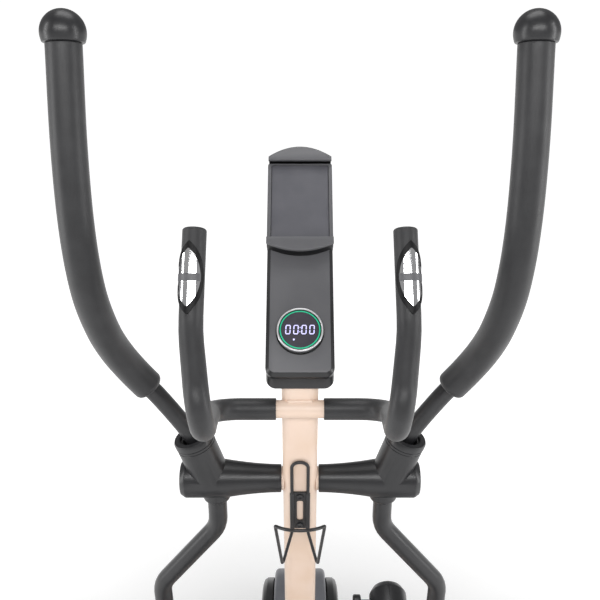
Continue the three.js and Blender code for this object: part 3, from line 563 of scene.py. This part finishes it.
# A lip's outline: width, straight edge, and its bowed edge at the sides and in the middle.
SHELF_UNDER, SHELF_TOP = (91.5, 194, 186, SHELF_LOW + 1), (93, 194.6, 185, SHELF_LOW)
CLAMP_UNDER, CLAMP_TOP = (89.5, 323, 328, 343.5), (91, 321.7, 328, 345)
SHELF_LEVELS, CLAMP_LEVELS = (0.4, 15, 19.6), (0.4, 11, 15.6)
DISPLAY_Y, DISPLAY_RADIUS, DISPLAY_SEAT = 61, 30.8, 1.3
RING_INNER, LENS_RADIUS, GREEN_RADIUS, WINDOW_HOLE, WINDOW_RADIUS = 28.5, 28.3, 27.0, 25.3, 25.2
FIGURE_WIDTH, FIGURE_HEIGHT, FIGURE_BAR, FIGURE_LEAN = 5.6, 12.0, 1.3, 0.05
FIGURES_X, COLON_Y, LAMP = (-15.8, -5.3, 5.3, 15.8), (-3, 3), (-7.4, -14)


def console_outline(inset=0.0, corner=CONSOLE_CORNER):
    """The slab seen from the front; its top end is an arch."""
    half = CONSOLE_WIDTH / 2 - inset
    low, high = inset, CONSOLE_LENGTH - inset
    blade = (half ** 2 + CONSOLE_ARCH ** 2) / (2 * CONSOLE_ARCH)
    reach = asin(half / blade) * 180 / pi * ARCH_SHARE
    shoulder = high - CONSOLE_ARCH - 2
    top = arc(0, high - blade, blade, 90 - reach, 90 + reach, 24)
    left = arc(-half + corner, low + corner, corner, 180, 270)
    right = arc(half - corner, low + corner, corner, 270, 360)
    return top + [(-half, shoulder)] + left + right + [(half, shoulder)]


def lip_outline(width, chord, side_y, middle_y):
    """A lip with a straight edge at chord and a bowed far edge."""
    steps = 24
    bow = [(width * (i / steps - 0.5), side_y + (middle_y - side_y) * (1 - (2 * i / steps - 1) ** 2))
           for i in range(steps + 1)]
    return [(-width / 2, chord)] + bow + [(width / 2, chord)]


def round_plate(radius, low, high, ease=0.0):
    """A disc on the display's centre, from low to high off the console's face."""
    return slab(arc(0, DISPLAY_Y, radius, 0, 356, 89), low, high, CONSOLE, ease)


def make_console_shells():
    """The rear case with its lifted chin, and the front case with its chamfer, face and rim."""
    back = slab(console_outline(0.6), -CONSOLE_DEPTH, -SPLIT - 0.5, Matrix(), 0.6, 5, 4)
    chin = [v for v in back.verts if v.co.y < 30 * MM and v.co.z < -30 * MM]
    bmesh.ops.translate(back, verts=chin, vec=(0, -CHIN * MM, CHIN_LIFT * MM))
    back.transform(CONSOLE)
    piece("console_rear_case", "frame", [(back, ABS)], ["console_back_shell"])
    front = slab(console_outline(), -SPLIT, -FACE_PROUD, CONSOLE, FACE_CHAMFER, 0.6, 1)
    inset = FACE_CHAMFER + 0.3
    face = slab(console_outline(inset, CONSOLE_CORNER - inset), -2, 0, CONSOLE, 0.4)
    # The seat is painted shade: a near-black ring where the silver ring's shadow falls on the face.
    seat = round_plate(DISPLAY_RADIUS + DISPLAY_SEAT, -1, 3.2, 0.6)
    rim_width = CONSOLE_WIDTH + 2 * HOLDER_PROUD
    middle = (HOLDER_LOW + HOLDER_HIGH) / 2
    rim = slab(rounded_box(rim_width, HOLDER_HIGH - HOLDER_LOW, 3, 0, middle), -9, 6.8, CONSOLE, 1.6)
    pocket = slab(rounded_box(POCKET_WIDTH, POCKET_LENGTH, 2.5, 0, PAD_MIDDLE), 1.2, 12, CONSOLE)
    holder = carved(rim, [pocket])
    parts = [(face, SATIN), (front, ABS), (seat, BLACK_ABS_AND_SHADE), (holder, SATIN)]
    piece("console_front_case", "frame", parts, ["console_front_shell"])


def digit_zero(x):
    """The six lit segments of a nought centred on x."""
    wide, tall, bar = FIGURE_WIDTH, FIGURE_HEIGHT, FIGURE_BAR
    segments = []
    for y in (-tall / 2, tall / 2):
        segments.append(rounded_box(wide - 0.4, bar, bar / 2.1, x, DISPLAY_Y + y))
    for dx in (-wide / 2, wide / 2):
        for dy in (-tall / 4, tall / 4):
            segments.append(rounded_box(bar, tall / 2 - 0.9, bar / 2.1, x + dx, DISPLAY_Y + dy))
    return segments


def make_display():
    """The window with its green ring and leaning figures, and the metal ring round it."""
    lens = round_plate(LENS_RADIUS, 4, 8.4, 0.3)
    glow = round_plate(GREEN_RADIUS, 4.5, 8.7, 0.2)
    well = round_plate(WINDOW_HOLE, 2, 12)
    face = round_plate(WINDOW_RADIUS, 4.5, 8.6, 0.2)
    outlines = [outline for x in FIGURES_X for outline in digit_zero(x)]
    outlines += [arc(0, DISPLAY_Y + y, 0.7, 0, 330, 11) for y in COLON_Y]
    outlines.append(arc(LAMP[0], DISPLAY_Y + LAMP[1], 1.3, 0, 330, 11))
    lean = Matrix()
    lean[0][1] = FIGURE_LEAN
    lean[0][3] = -FIGURE_LEAN * DISPLAY_Y * MM
    lit = [(slab(outline, 8.3, 8.8, CONSOLE @ lean), DIGIT) for outline in outlines]
    parts = [(lens, BLACK_ABS_AND_SHADE), (carved(glow, [well]), GREEN), (face, GLASS)] + lit
    piece("display_window", "frame", parts, ["display_lens"])
    axis = CONSOLE.to_3x3() @ UP
    centre = CONSOLE @ Vector((0, DISPLAY_Y * MM, 0))
    corners = [(RING_INNER, 7), (RING_INNER, 9.6), (29.2, 10), (30.3, 10), (DISPLAY_RADIUS, 9.4),
               (DISPLAY_RADIUS, 3.4), (RING_INNER, 3.4), (RING_INNER, 7)]
    silver = spun(eased(corners, 0.3), centre, axis, 96)
    piece("display_bezel", "frame", [(silver, ALUMINIUM)], ["display_ring"])


def lip(under, top, levels, ease):
    """A moulded lip: a satin plate on a near-black core of painted shade, at three heights off the console's
    face.
    """
    foot, step, crest = levels
    # The core is painted shade: near-black where the plate's shadow falls beneath it.
    core = slab(lip_outline(*under), foot, step, CONSOLE, 0, 0.4)
    plate = slab(lip_outline(*top), step, crest, CONSOLE, ease, 0.5)
    return [(plate, SATIN), (core, BLACK_ABS_AND_SHADE)]


def make_phone_holder():
    pad = slab(rounded_box(PAD_WIDTH, PAD_LENGTH, 2, 0, PAD_MIDDLE), 0.5, 5.4, CONSOLE, 0.5)
    piece("phone_pad", "frame", [(pad, PAD)], ["phone_rest_pad"])
    piece("phone_ledge", "frame", lip(SHELF_UNDER, SHELF_TOP, SHELF_LEVELS, 1.4), ["phone_shelf"])
    tongue = slab(rounded_box(50, 85, 2, 0, 283), 0.5, 2.1, CONSOLE, 0.3)
    jaw = lip(CLAMP_UNDER, CLAMP_TOP, CLAMP_LEVELS, 1.6) + [(tongue, ABS)]
    piece("phone_clamp_jaw", "phone_clamp", jaw, ["phone_clamp"])


# -------------------- bottle cage
WIRE, LOOP_HALF, LOOP_TOP, LEG_TOP, WIRE_SEAT, WIRE_JOIN = 2.4, 11.7, 1031, 888, 3.5, 905
PLATE_WIDTH, PLATE_TOP, PLATE_BOTTOM, BOLT_SPACING = 28.6, 976, 900, 62
SLOT_WIDTH, SLOT_LENGTH, FLANGE_WIDTH = 9.2, 44, 6.4
CAGE_FOOT_HALF, CAGE_FOOT_OUT, CAGE_FOOT_Z = 26.5, 35, 843
HOOP_RADIUS, HOOP_TURN, HOOP_OUT, HOOP_Z, HOOP_CORNER_Z = 40.6, radians(59.5), 78, 959, 950


def cage_point(x, out, z):
    """A point of the cage: x to the side, out from the mast's rear face."""
    return place(x, mast_y(z) - MAST_SIZE / 2 / cos(LEAN) - out, z)


def hoop_point(angle):
    """The hoop round the bottle's near side, by angle from the point furthest off the mast."""
    rise = (cos(angle) - cos(HOOP_TURN)) / (1 - cos(HOOP_TURN))
    out = HOOP_OUT - HOOP_RADIUS * (1 - cos(angle))
    return cage_point(HOOP_RADIUS * sin(angle), out, HOOP_CORNER_Z + (HOOP_Z - HOOP_CORNER_Z) * rise)


def cage_wires():
    """The loop up the mast, and the run down to the bottle's foot and round its near side."""
    low = WIRE_JOIN - 3
    spots = ((-1, low), (-1, LOOP_TOP), (1, LOOP_TOP), (1, low))
    loop = [cage_point(side * LOOP_HALF, WIRE_SEAT, z) for side, z in spots]
    legs = [[cage_point(side * LOOP_HALF, WIRE_SEAT, WIRE_JOIN + 3),
             cage_point(side * LOOP_HALF, WIRE_SEAT, LEG_TOP),
             cage_point(side * CAGE_FOOT_HALF, CAGE_FOOT_OUT, CAGE_FOOT_Z),
             hoop_point(side * HOOP_TURN)]
            for side in (-1, 1)]
    front = [hoop_point(radians(angle)) for angle in (-40, -20, 0, 20, 40)]
    run = legs[0] + front + legs[1][::-1]
    runs = ((loop, [LOOP_HALF - 0.2] * 2), (run, [6, 4, 4] + [38] * len(front) + [4, 4, 6]))
    return [tube(bent_path(path, [bend * MM for bend in bends]), WIRE, 1, 1, 5) for path, bends in runs]


def make_bottle_cage():
    """The wires, and the slotted plate with its raised edges and two bolt heads."""
    middle, length = (PLATE_TOP + PLATE_BOTTOM) / 2, (PLATE_TOP - PLATE_BOTTOM) / cos(LEAN)
    to_face = Matrix.Translation(Vector((0, -MAST_SIZE / 2 * MM, 0)))
    turn = on_mast(middle) @ to_face @ Matrix.Rotation(pi / 2, 4, "X")
    strip = slab(rounded_box(PLATE_WIDTH, length, 3), 0.5, 3.4, turn, 0.6)
    slot = slab(rounded_box(SLOT_WIDTH, SLOT_LENGTH, 3), -2, 9, turn)
    shapes = cage_wires() + [carved(strip, [slot])]
    for side in (-1, 1):
        edge = side * (PLATE_WIDTH / 2 - 2.6)
        shapes.append(slab(rounded_box(FLANGE_WIDTH, length, 1.6, edge), 2, 6.6, turn, 1.6))
    axis = turn.to_3x3() @ UP
    head = [(0, 3.2), (5.2, 3.2), (5.2, 4.6), (4.2, 6.4), (2.4, 6.8), (2.2, 5.2), (0, 5.2)]
    for offset in (-BOLT_SPACING / 2, BOLT_SPACING / 2):
        shapes.append(spun(eased(head, 0.4), turn @ Vector((0, offset * MM, 0)), axis, 24))
    parts = [(shape, BLACK_PAINT) for shape in shapes]
    piece("bottle_holder", "frame", parts, ["bottle_cage"])


# -------------------- swing arms
SOCKET_X, SOCKET_OUT, SOCKET_BACK = 130, radians(17.5), radians(5.5)
UPPER_ARM = ((194, -13, 1120), (228, -22, 1169), (246, -37, 1208), (256, -56, 1250), (264, -70, 1305),
             (270, -69, 1380), (273, -55, 1478), (274, -28, 1596))
LOWER_ARM = ((124, 0, 980), (124, 4, 893), (220, 17, 770), (220, 40, 600), (220, -150, 320))
LOWER_BENDS = [bend * MM for bend in (50, 50, 130)]
ARM_RADIUS, GRIP_RADIUS, BALL_RADIUS, LOWER_RADIUS = 13, 21.5, 27, 14.3
GRIP_LOW_Z, BALL_LIFT = 1136, 0.45
BARREL_NECK, BARREL_RADIUS, BARREL_END = 20.5, 28.5, 177
FLARE_START, FLARE_END, FLARE_POWER, FLARE_STEPS = 28.4, 112, 1.8, 12
KNOB_X, KNOB_RADIUS, SCREW_BELOW_PIVOT = 124, 20.5, 32.3
SCREW_WAY = Vector((0, -1, -0.25)).normalized()


def socket_axis(side):
    """The way the socket for the upper tube points: up, outwards and a little back."""
    return Vector((side * tan(SOCKET_OUT), -tan(SOCKET_BACK), 1)).normalized()


def upper_path(side):
    """The centre line of an upper tube, from inside its socket to the ball."""
    start, axis = place(side * SOCKET_X, 0, PIVOT_Z), socket_axis(side)
    knots = [start + axis * distance * MM for distance in (32, 56, 80)]
    return smooth_path(knots + [place(side * x, y, z) for x, y, z in UPPER_ARM])


def make_upper_arm(name, side):
    path = upper_path(side)
    body = f"swing_{name}"
    piece(f"upper_tube_{name}", body, [(tube(path, ARM_RADIUS), BLACK_PAINT)], [f"upper_arm_{name}"])
    sleeve = [point for point in path if point.z > GRIP_LOW_Z * MM]
    grip = tube(sleeve, GRIP_RADIUS, 7.5, 1, 12)
    piece(f"swing_grip_{name}", body, [(grip, FOAM)], [f"swing_foam_{name}"])
    along = (path[-1] - path[-2]).normalized()
    crown = [(BALL_RADIUS * cos(radians(angle)), BALL_RADIUS * (BALL_LIFT + sin(radians(angle))))
             for angle in range(-18, 90, 6)]
    base = [(0, 0.3), (22.5, 0.3), (24.6, 1.2), (25.4, 2.6)]
    ball = spun(base + crown + [(0, BALL_RADIUS * (BALL_LIFT + 1))], path[-1], along)
    piece(f"grip_cap_{name}", body, [(ball, ABS)], [f"handle_ball_{name}"])


def make_lower_arm(name, side):
    across = Vector((side, 0, 0))
    path = bent_path([place(side * x, y, z) for x, y, z in LOWER_ARM], LOWER_BENDS)
    shaft = tube(path, LOWER_RADIUS, 0, 0, 10)
    bush = ring(8.3, 18, 206, 234, place(0, FOOT_Y, FOOT_Z), across)
    sleeve = ring(12.9, 17, 29, 167, place(0, 0, PIVOT_Z), across)
    parts = [(shaft, BLACK_PAINT), (bush, BLACK_PAINT), (sleeve, BLACK_PAINT)]
    piece(f"lower_tube_{name}", f"swing_{name}", parts, [f"swing_arm_{name}"])


def make_pivot_covers(name, side):
    """The flared barrel with its socket and lower knob, in a rear and a front half."""
    across, axis, centre = Vector((side, 0, 0)), socket_axis(side), place(0, 0, PIVOT_Z)
    flare = [(BARREL_NECK + (BARREL_RADIUS - BARREL_NECK) * (i / FLARE_STEPS) ** FLARE_POWER,
              FLARE_START + (FLARE_END - FLARE_START) * i / FLARE_STEPS) for i in range(FLARE_STEPS + 1)]
    barrel = [(0, 40), (17.8, 40), (17.8, 28), (20, 27.6)] + flare
    barrel += eased([(BARREL_RADIUS, 120), (BARREL_RADIUS, 168), (23.5, 175.6), (0, BARREL_END)], 3.5)
    root = place(side * SOCKET_X, 0, PIVOT_Z)
    socket = [(0, 0), (28.3, 0), (28.3, 65.4), (27.5, 66), (27.5, 67), (28.4, 67.6), (28.4, 70), (27.6, 70.6),
              (27.6, 71.6), (28.9, 72.2), (28.9, 78.6), (27.4, 81.4), (21, 82), (19.5, 80.8), (18.6, 77),
              (16.6, 76), (16.4, 58), (0, 58)]
    knob_root = place(side * KNOB_X, 0, PIVOT_Z)
    down = (place(side * KNOB_X, *LOWER_ARM[1][1:]) - knob_root).normalized()
    knob = [(0, 0), (KNOB_RADIUS, 0), (KNOB_RADIUS, 29)] + arc(14.5, 30, 6, 0, 75, 6) + [(0, 36)]
    lower = spun(knob, knob_root, down)
    whole = carved(spun(barrel, centre, across, 96), [spun(socket, root, axis, 96), lower], "UNION")
    screw_at = place(side * KNOB_X, 0, PIVOT_Z - SCREW_BELOW_PIVOT)
    whole = carved(whole, [rod(3.2, 10, 26, screw_at, SCREW_WAY, 0.1, 24)])
    for half_name, direction in (("rear", -1), ("front", 1)):
        half = half_of(whole, centre, Vector((0, direction, 0)))
        piece(f"pivot_shroud_{half_name}_{name}", f"swing_{name}", [(half, ABS)],
              [f"pivot_cover_{half_name}_{name}"])
    whole.free()


# -------------------- drive unit
CRANK_Y, CRANK_Z, THROW, CRANK_TURN = 310, 300, 150, radians(2.49)
DISC_RADIUS, DISC_BACK, DISC_FRONT = 170, 57, 82
FLYWHEEL_Y, FLYWHEEL_Z = 420, 215
SHELL_RADIUS, SHELL_HALF, SHELL_WALL, SHELL_EASE = 189, 53.8, 2.5, 9
SHELL_NOSE = (400, 247, 135)


def crank_pin(side):
    """The y and z of a crank pin at rest."""
    angle = CRANK_TURN + (0 if side > 0 else pi)
    return CRANK_Y + THROW * sin(angle), CRANK_Z + THROW * cos(angle)


def upright(side, y=0.0, z=0.0):
    """Stands an outline drawn in (Y, Z) up, with its thickness along X on one side."""
    turn = Matrix.Translation(place(0, y, z)) @ ACROSS
    return turn if side > 0 else Matrix.Diagonal((-1, 1, 1, 1)) @ turn


def shell_outline(inset):
    """The housing seen from the side: a large round, and a nose ahead of it and lower."""
    nose_y, nose_z, nose_radius = SHELL_NOSE
    return round_link((CRANK_Y, CRANK_Z, SHELL_RADIUS - inset), (nose_y, nose_z, nose_radius - inset), 60)


def make_housing(name, side):
    """One half of the hollow housing, cut out for the mast, the beam and the crank axle."""
    turn = upright(side)
    shell = slab(shell_outline(0.3), 0.25, SHELL_HALF, turn, SHELL_EASE, 0.4, 6)
    hollow = slab(shell_outline(SHELL_WALL + 2), -1, SHELL_HALF - SHELL_WALL - 2, turn)
    mast_slot = slab(rounded_box(56, 170, 3, 0, -57), -250, 500, on_mast(MAST_BOTTOM))
    beam_slot = slab(rounded_box(71, 620, 2, 0, 130), 40, 126.3, Matrix.Translation(place(0, 0, 0)))
    axle_hole = rod(12, 20, 70, place(0, CRANK_Y, CRANK_Z), Vector((side, 0, 0)))
    for tool in (shell, hollow):
        bmesh.ops.recalc_face_normals(tool, faces=tool.faces)
    shell = carved(shell, [hollow, mast_slot, beam_slot, axle_hole])
    piece(f"housing_shell_{name}", "frame", [(shell, HOUSING)], [f"housing_{name}"])


def make_crank(name, side):
    """The hollow cover disc with its groove, and the lever with its nut and pin cap."""
    across, centre = Vector((side, 0, 0)), place(0, CRANK_Y, CRANK_Z)
    face = [(18, 80), (18, 81.6), (60, DISC_FRONT), (140, 80), (156, 80), (165, 77), (DISC_RADIUS, 70),
            (DISC_RADIUS, DISC_BACK)]
    inside = [(167, 56), (167, 70), (154, 77), (18, 79), (18, DISC_BACK), (10.3, DISC_BACK),
              (10.3, DISC_FRONT), (18, DISC_FRONT)]
    disc = spun(eased(face, 3) + inside, centre, across, 128)
    groove = ring(148, 151, 79.4, 84, centre, across, 0.2, 128)
    disc = carved(disc, [groove])
    piece(f"crank_cover_disc_{name}", "crank", [(disc, ABS)], [f"crank_disc_{name}"])
    pin_y, pin_z = crank_pin(side)
    turn = upright(side)
    arm = slab(round_link((CRANK_Y, CRANK_Z, 22), (pin_y, pin_z, 19)), 111, 127, turn, 3, 3, 4)
    bmesh.ops.recalc_face_normals(arm, faces=arm.faces)
    nut = rod(9, 126, 127.6, centre, across, 0.4, 6)
    cap = rod(12.5, 124, 127.4, place(0, pin_y, pin_z), across, 0.8)
    parts = [(arm, BLACK_PAINT), (nut, STEEL), (cap, STEEL)]
    piece(f"crank_lever_{name}", "crank", parts, [f"crank_arm_{name}"])


def make_wheelwork():
    """The flywheel and the drive pulley with their smooth turned rims."""
    across = Vector((1, 0, 0))
    corners = [(6.3, -10), (6.3, -26), (22, -26), (24, -20), (62, -20), (64, -26), (80, -26), (80, 6),
               (64, 6), (62, 0), (24, 0), (22, 6), (16, 6), (16, 21), (6.3, 21), (6.3, -10)]
    wheel = spun(eased(corners, 1.2), place(0, FLYWHEEL_Y, FLYWHEEL_Z), across, 96)
    piece("flywheel_casting", "flywheel", [(wheel, IRON)], ["flywheel"])
    corners = [(10.3, 14), (10.3, 11), (22, 11), (22, 14), (87, 14), (87, 11), (95, 11), (95, 21), (87, 21),
               (87, 18), (22, 18), (22, 21), (10.3, 21), (10.3, 14)]
    pulley = spun(eased(corners, 0.6), place(0, CRANK_Y, CRANK_Z), across, 128)
    piece("belt_pulley", "crank", [(pulley, ABS)], ["drive_pulley"])


# -------------------- foot tubes and pedals
FOOT_X, FOOT_Y, FOOT_Z = 185, -150, 320
FOOT_RADIUS, OVERHANG, COVER_RADIUS, NECK_RADIUS = 18, 360, 39, 25
CRANK_FACE, COVER_LENGTH = 127.5, 88
PEDAL_WIDTH, PEDAL_LENGTH, PEDAL_CORNER, PEDAL_START = 132, 352, 34, 26
PEDAL_DEPTH, PEDAL_FLOOR, PEDAL_BOLT = 26, 8, 120
WELL_INSET, RIBS, RIB_SPACING, RIB_WIDTH = 9, 21, 14, 5
ORIGIN = Vector((0, 0, 0))
AHEAD = Vector((0, 1, 0))


def foot_frame(side):
    """The turn and shift of one foot tube (Y along the tube), and how far forward its pin is."""
    pin_y, pin_z = crank_pin(side)
    angle = atan2(pin_z - FOOT_Z, pin_y - FOOT_Y)
    turn = Matrix.Translation(place(side * FOOT_X, FOOT_Y, FOOT_Z)) @ Matrix.Rotation(angle, 4, "X")
    return turn, hypot(pin_z - FOOT_Z, pin_y - FOOT_Y)


def make_foot_tube(name, side):
    """The tube with its end plug, and a boss and a pin at each of its two joints."""
    turn, reach = foot_frame(side)
    across = Vector((side, 0, 0))
    front = Vector((0, reach * MM, 0))
    painted = [
        rod(FOOT_RADIUS, -OVERHANG, reach, ORIGIN, AHEAD, 1, 64),
        rod(22, -26, 26, front, across, 1.5),
        rod(20, 0, 20.6, ORIGIN, across, 1),
    ]
    plated = [
        rod(9, 20, FOOT_X - CRANK_FACE, front, -across),
        rod(8, 0, 51, ORIGIN, across),
        rod(13, 50, 58, ORIGIN, across, 1, 6),
    ]
    plug = rod(16.6, -OVERHANG - 1.2, -OVERHANG + 3, ORIGIN, AHEAD, 0.8)
    parts = [(bm, BLACK_PAINT) for bm in painted] + [(bm, STEEL) for bm in plated] + [(plug, RUBBER)]
    for bm, _ in parts:
        bm.transform(turn)
    piece(f"foot_bar_{name}", f"foot_{name}", parts, [f"foot_tube_{name}"])


def make_joint_cover(name, side):
    """The turned cover over the front joint, open towards the crank, in two halves."""
    turn, reach = foot_frame(side)
    mouth = reach - COVER_LENGTH
    corners = [(0, mouth + 6), (FOOT_RADIUS + 1, mouth + 6), (FOOT_RADIUS + 1, mouth), (NECK_RADIUS, mouth),
               (NECK_RADIUS, reach - 46), (COVER_RADIUS - 5, reach - 36), (COVER_RADIUS, reach - 22),
               (COVER_RADIUS, reach + 20), (COVER_RADIUS - 8, reach + 34), (COVER_RADIUS - 20, reach + 41),
               (0, reach + 42)]
    cover = spun(eased(corners, 7), ORIGIN, AHEAD, 64)
    hole = rod(12, 20, 60, Vector((0, reach * MM, 0)), Vector((-side, 0, 0)))
    cover = carved(cover, [hole])
    halves = [half_of(cover, ORIGIN, Vector((direction, 0, 0)), 0.3) for direction in (-1, 1)]
    cover.free()
    for half in halves:
        half.transform(turn)
    piece(f"joint_shroud_{name}", f"foot_{name}", [(half, ABS) for half in halves], [f"joint_cover_{name}"])


def make_pedal(name, side):
    """A tray with a raised edge, rubber ribs across its floor, and two bolt heads."""
    turn, _ = foot_frame(side)
    middle = -PEDAL_START - PEDAL_LENGTH / 2
    floor = FOOT_RADIUS + 0.4
    outside = rounded_box(PEDAL_WIDTH, PEDAL_LENGTH, PEDAL_CORNER, 0, middle)
    inside = rounded_box(PEDAL_WIDTH - WELL_INSET, PEDAL_LENGTH - WELL_INSET, PEDAL_CORNER - 4, 0, middle)
    tray = slab(outside, floor, floor + PEDAL_DEPTH, Matrix(), 1.6, 3)
    tray = carved(tray, [slab(inside, floor + PEDAL_FLOOR, floor + PEDAL_FLOOR + 32)])
    parts = [(tray, SATIN)]
    for i in range(RIBS):
        y = middle + (i - (RIBS - 1) / 2) * RIB_SPACING
        inset = 30 if i in (0, RIBS - 1) else 18
        outline = rounded_box(PEDAL_WIDTH - inset, RIB_WIDTH, 2.4, 0, y)
        parts.append((slab(outline, floor + 7.5, floor + 10.6, Matrix(), 1), RUBBER))
    head = [(0, 8), (9, 8), (9, 10.2), (7.5, 11.4), (0, 11.8)]
    for offset in (-PEDAL_BOLT, PEDAL_BOLT):
        bolt_at = Vector((0, (middle + offset) * MM, floor * MM))
        parts.append((spun(eased(head, 0.5), bolt_at, UP, 32), STEEL))
    for bm, _ in parts:
        bm.transform(turn)
    piece(f"foot_pedal_{name}", f"foot_{name}", parts, [f"pedal_{name}"])


# -------------------- base
BEAM_WIDTH, BEAM_HEIGHT, BEAM_BOTTOM, BEAM_REAR, BEAM_FRONT = 60, 40, 70.3, -485, 530
REAR_Y, REAR_HALF, FRONT_Y, FRONT_HALF = -450, 245, 492, 215
CROSS_TUBE_Z, CROSS_TUBE_WIDTH, CROSS_TUBE_HEIGHT, BOLT_X = 50, 60, 40, 18
FOOT_BLOCK_Z, FOOT_BLOCK_WIDTH, FOOT_BLOCK_HEIGHT, FOOT_BLOCK_REACH = 35.5, 56, 71, 36
WHEEL_Y, WHEEL_Z = 549, 29.5


def make_base():
    """The long beam with its four bolt heads, and the two cross tubes under it."""
    front = place(0, BEAM_FRONT, BEAM_BOTTOM + BEAM_HEIGHT / 2)
    along = Matrix.Translation(front) @ Matrix.Rotation(pi / 2, 4, "X")
    beam = slab(rounded_box(BEAM_WIDTH, BEAM_HEIGHT, 6), 0, BEAM_FRONT - BEAM_REAR, along, 1, 1)
    parts = [(beam, CREAM)]
    head = [(0, 40), (8, 40), (8, 41), (5, 44.2), (0, 45)]
    for y in (REAR_Y, FRONT_Y):
        for x in (-BOLT_X, BOLT_X):
            parts.append((spun(eased(head, 1), place(x, y, BEAM_BOTTOM), UP, 32), STEEL))
    piece("floor_beam", "frame", parts, ["base_beam"])
    for name, y, half in (("rear", REAR_Y, REAR_HALF), ("front", FRONT_Y, FRONT_HALF)):
        outline = rounded_box(CROSS_TUBE_WIDTH, CROSS_TUBE_HEIGHT, 15)
        bar = slab(outline, -half + 0.5, half - 0.5, upright(1, y, CROSS_TUBE_Z), 0.5, 0.5)
        piece(f"{name}_cross_tube", "frame", [(bar, CREAM)], [f"{name}_stabiliser"])


def foot_block(side, y, half):
    """A moulded end cap with a band round it and a rubber tread, on the end of a cross tube."""
    turn = upright(side, y, FOOT_BLOCK_Z)
    outline = rounded_box(FOOT_BLOCK_WIDTH, FOOT_BLOCK_HEIGHT, 12)
    block = slab(outline, half, half + FOOT_BLOCK_REACH, turn, 3, 0.8, 4)
    tread = slab(rounded_box(50, 6, 2, 0, -32.4), half + 3, half + 33, turn, 1, 1)
    rim = slab(rounded_box(57, 70.6, 12, 0, 0.2), half + 6, half + 8.5, turn, 0.8, 0.8)
    for bm in (block, tread, rim):
        bmesh.ops.recalc_face_normals(bm, faces=bm.faces)
    return [(block, ABS), (tread, RUBBER), (rim, ABS)]


def make_feet(name, side):
    """The rear and front end caps of one side, and the front one's bracket, axle and wheel."""
    across = Vector((side, 0, 0))
    piece(f"rear_end_cap_{name}", "frame", foot_block(side, REAR_Y, REAR_HALF), [f"rear_foot_{name}"])
    arm = arc(WHEEL_Y, WHEEL_Z, 13, -90, 90, 16) + [(FRONT_Y, 53.5), (FRONT_Y, 7.5)]
    bracket = slab(arm, 237, 244, upright(side), 1, 1)
    bmesh.ops.recalc_face_normals(bracket, faces=bracket.faces)
    axle = rod(5.5, 213, 239, place(0, WHEEL_Y, WHEEL_Z), across)
    parts = foot_block(side, FRONT_Y, FRONT_HALF) + [(bracket, ABS), (axle, STEEL)]
    piece(f"front_end_cap_{name}", "frame", parts, [f"front_foot_{name}"])
    corners = [(6, 225), (6, 216), (10, 216), (10, 219), (20, 219), (20, 216), (23, 216), (25.7, 219),
               (25.7, 222), (24.8, 222.6), (24.8, 227.4), (25.7, 228), (25.7, 231), (23, 234), (20, 234),
               (20, 231), (10, 231), (10, 234), (6, 234), (6, 225)]
    wheel = spun(eased(corners, 0.6), place(0, WHEEL_Y, WHEEL_Z), across)
    piece(f"roller_{name}", f"transport_wheel_{name}", [(wheel, RUBBER)], [f"transport_wheel_{name}"])


# -------------------- carried frame nodes and floor
# The CAD nodes whose own shape is right, and the material each one gets.
CARRIED = {
    "base_post": CREAM, "pivot_axle": STEEL, "crank_axle": STEEL, "flywheel_axle": STEEL,
    "side_plate_left": STEEL, "side_plate_right": STEEL, "magnet_bracket": IRON,
    "drive_belt": RUBBER, "console_board": BOARD,
}


def dress_carried_nodes():
    for name, material in CARRIED.items():
        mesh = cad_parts[name].data
        mesh.materials.clear()
        mesh.materials.append(material)


def make_floor():
    bm = bmesh.new()
    bmesh.ops.create_grid(bm, x_segments=1, y_segments=1, size=FLOOR_REACH)
    floor = as_object(bm, "studio_floor")
    floor.data.materials.append(studio_floor())


make_camera()
make_light()
make_floor()
make_mast()
make_fixed_handlebar()
make_pulse_sensors()
make_console_shells()
make_display()
make_phone_holder()
make_bottle_cage()
make_wheelwork()
make_base()
for side_name, side_sign in SIDES:
    make_upper_arm(side_name, side_sign)
    make_lower_arm(side_name, side_sign)
    make_pivot_covers(side_name, side_sign)
    make_housing(side_name, side_sign)
    make_crank(side_name, side_sign)
    make_foot_tube(side_name, side_sign)
    make_joint_cover(side_name, side_sign)
    make_pedal(side_name, side_sign)
    make_feet(side_name, side_sign)
dress_carried_nodes()
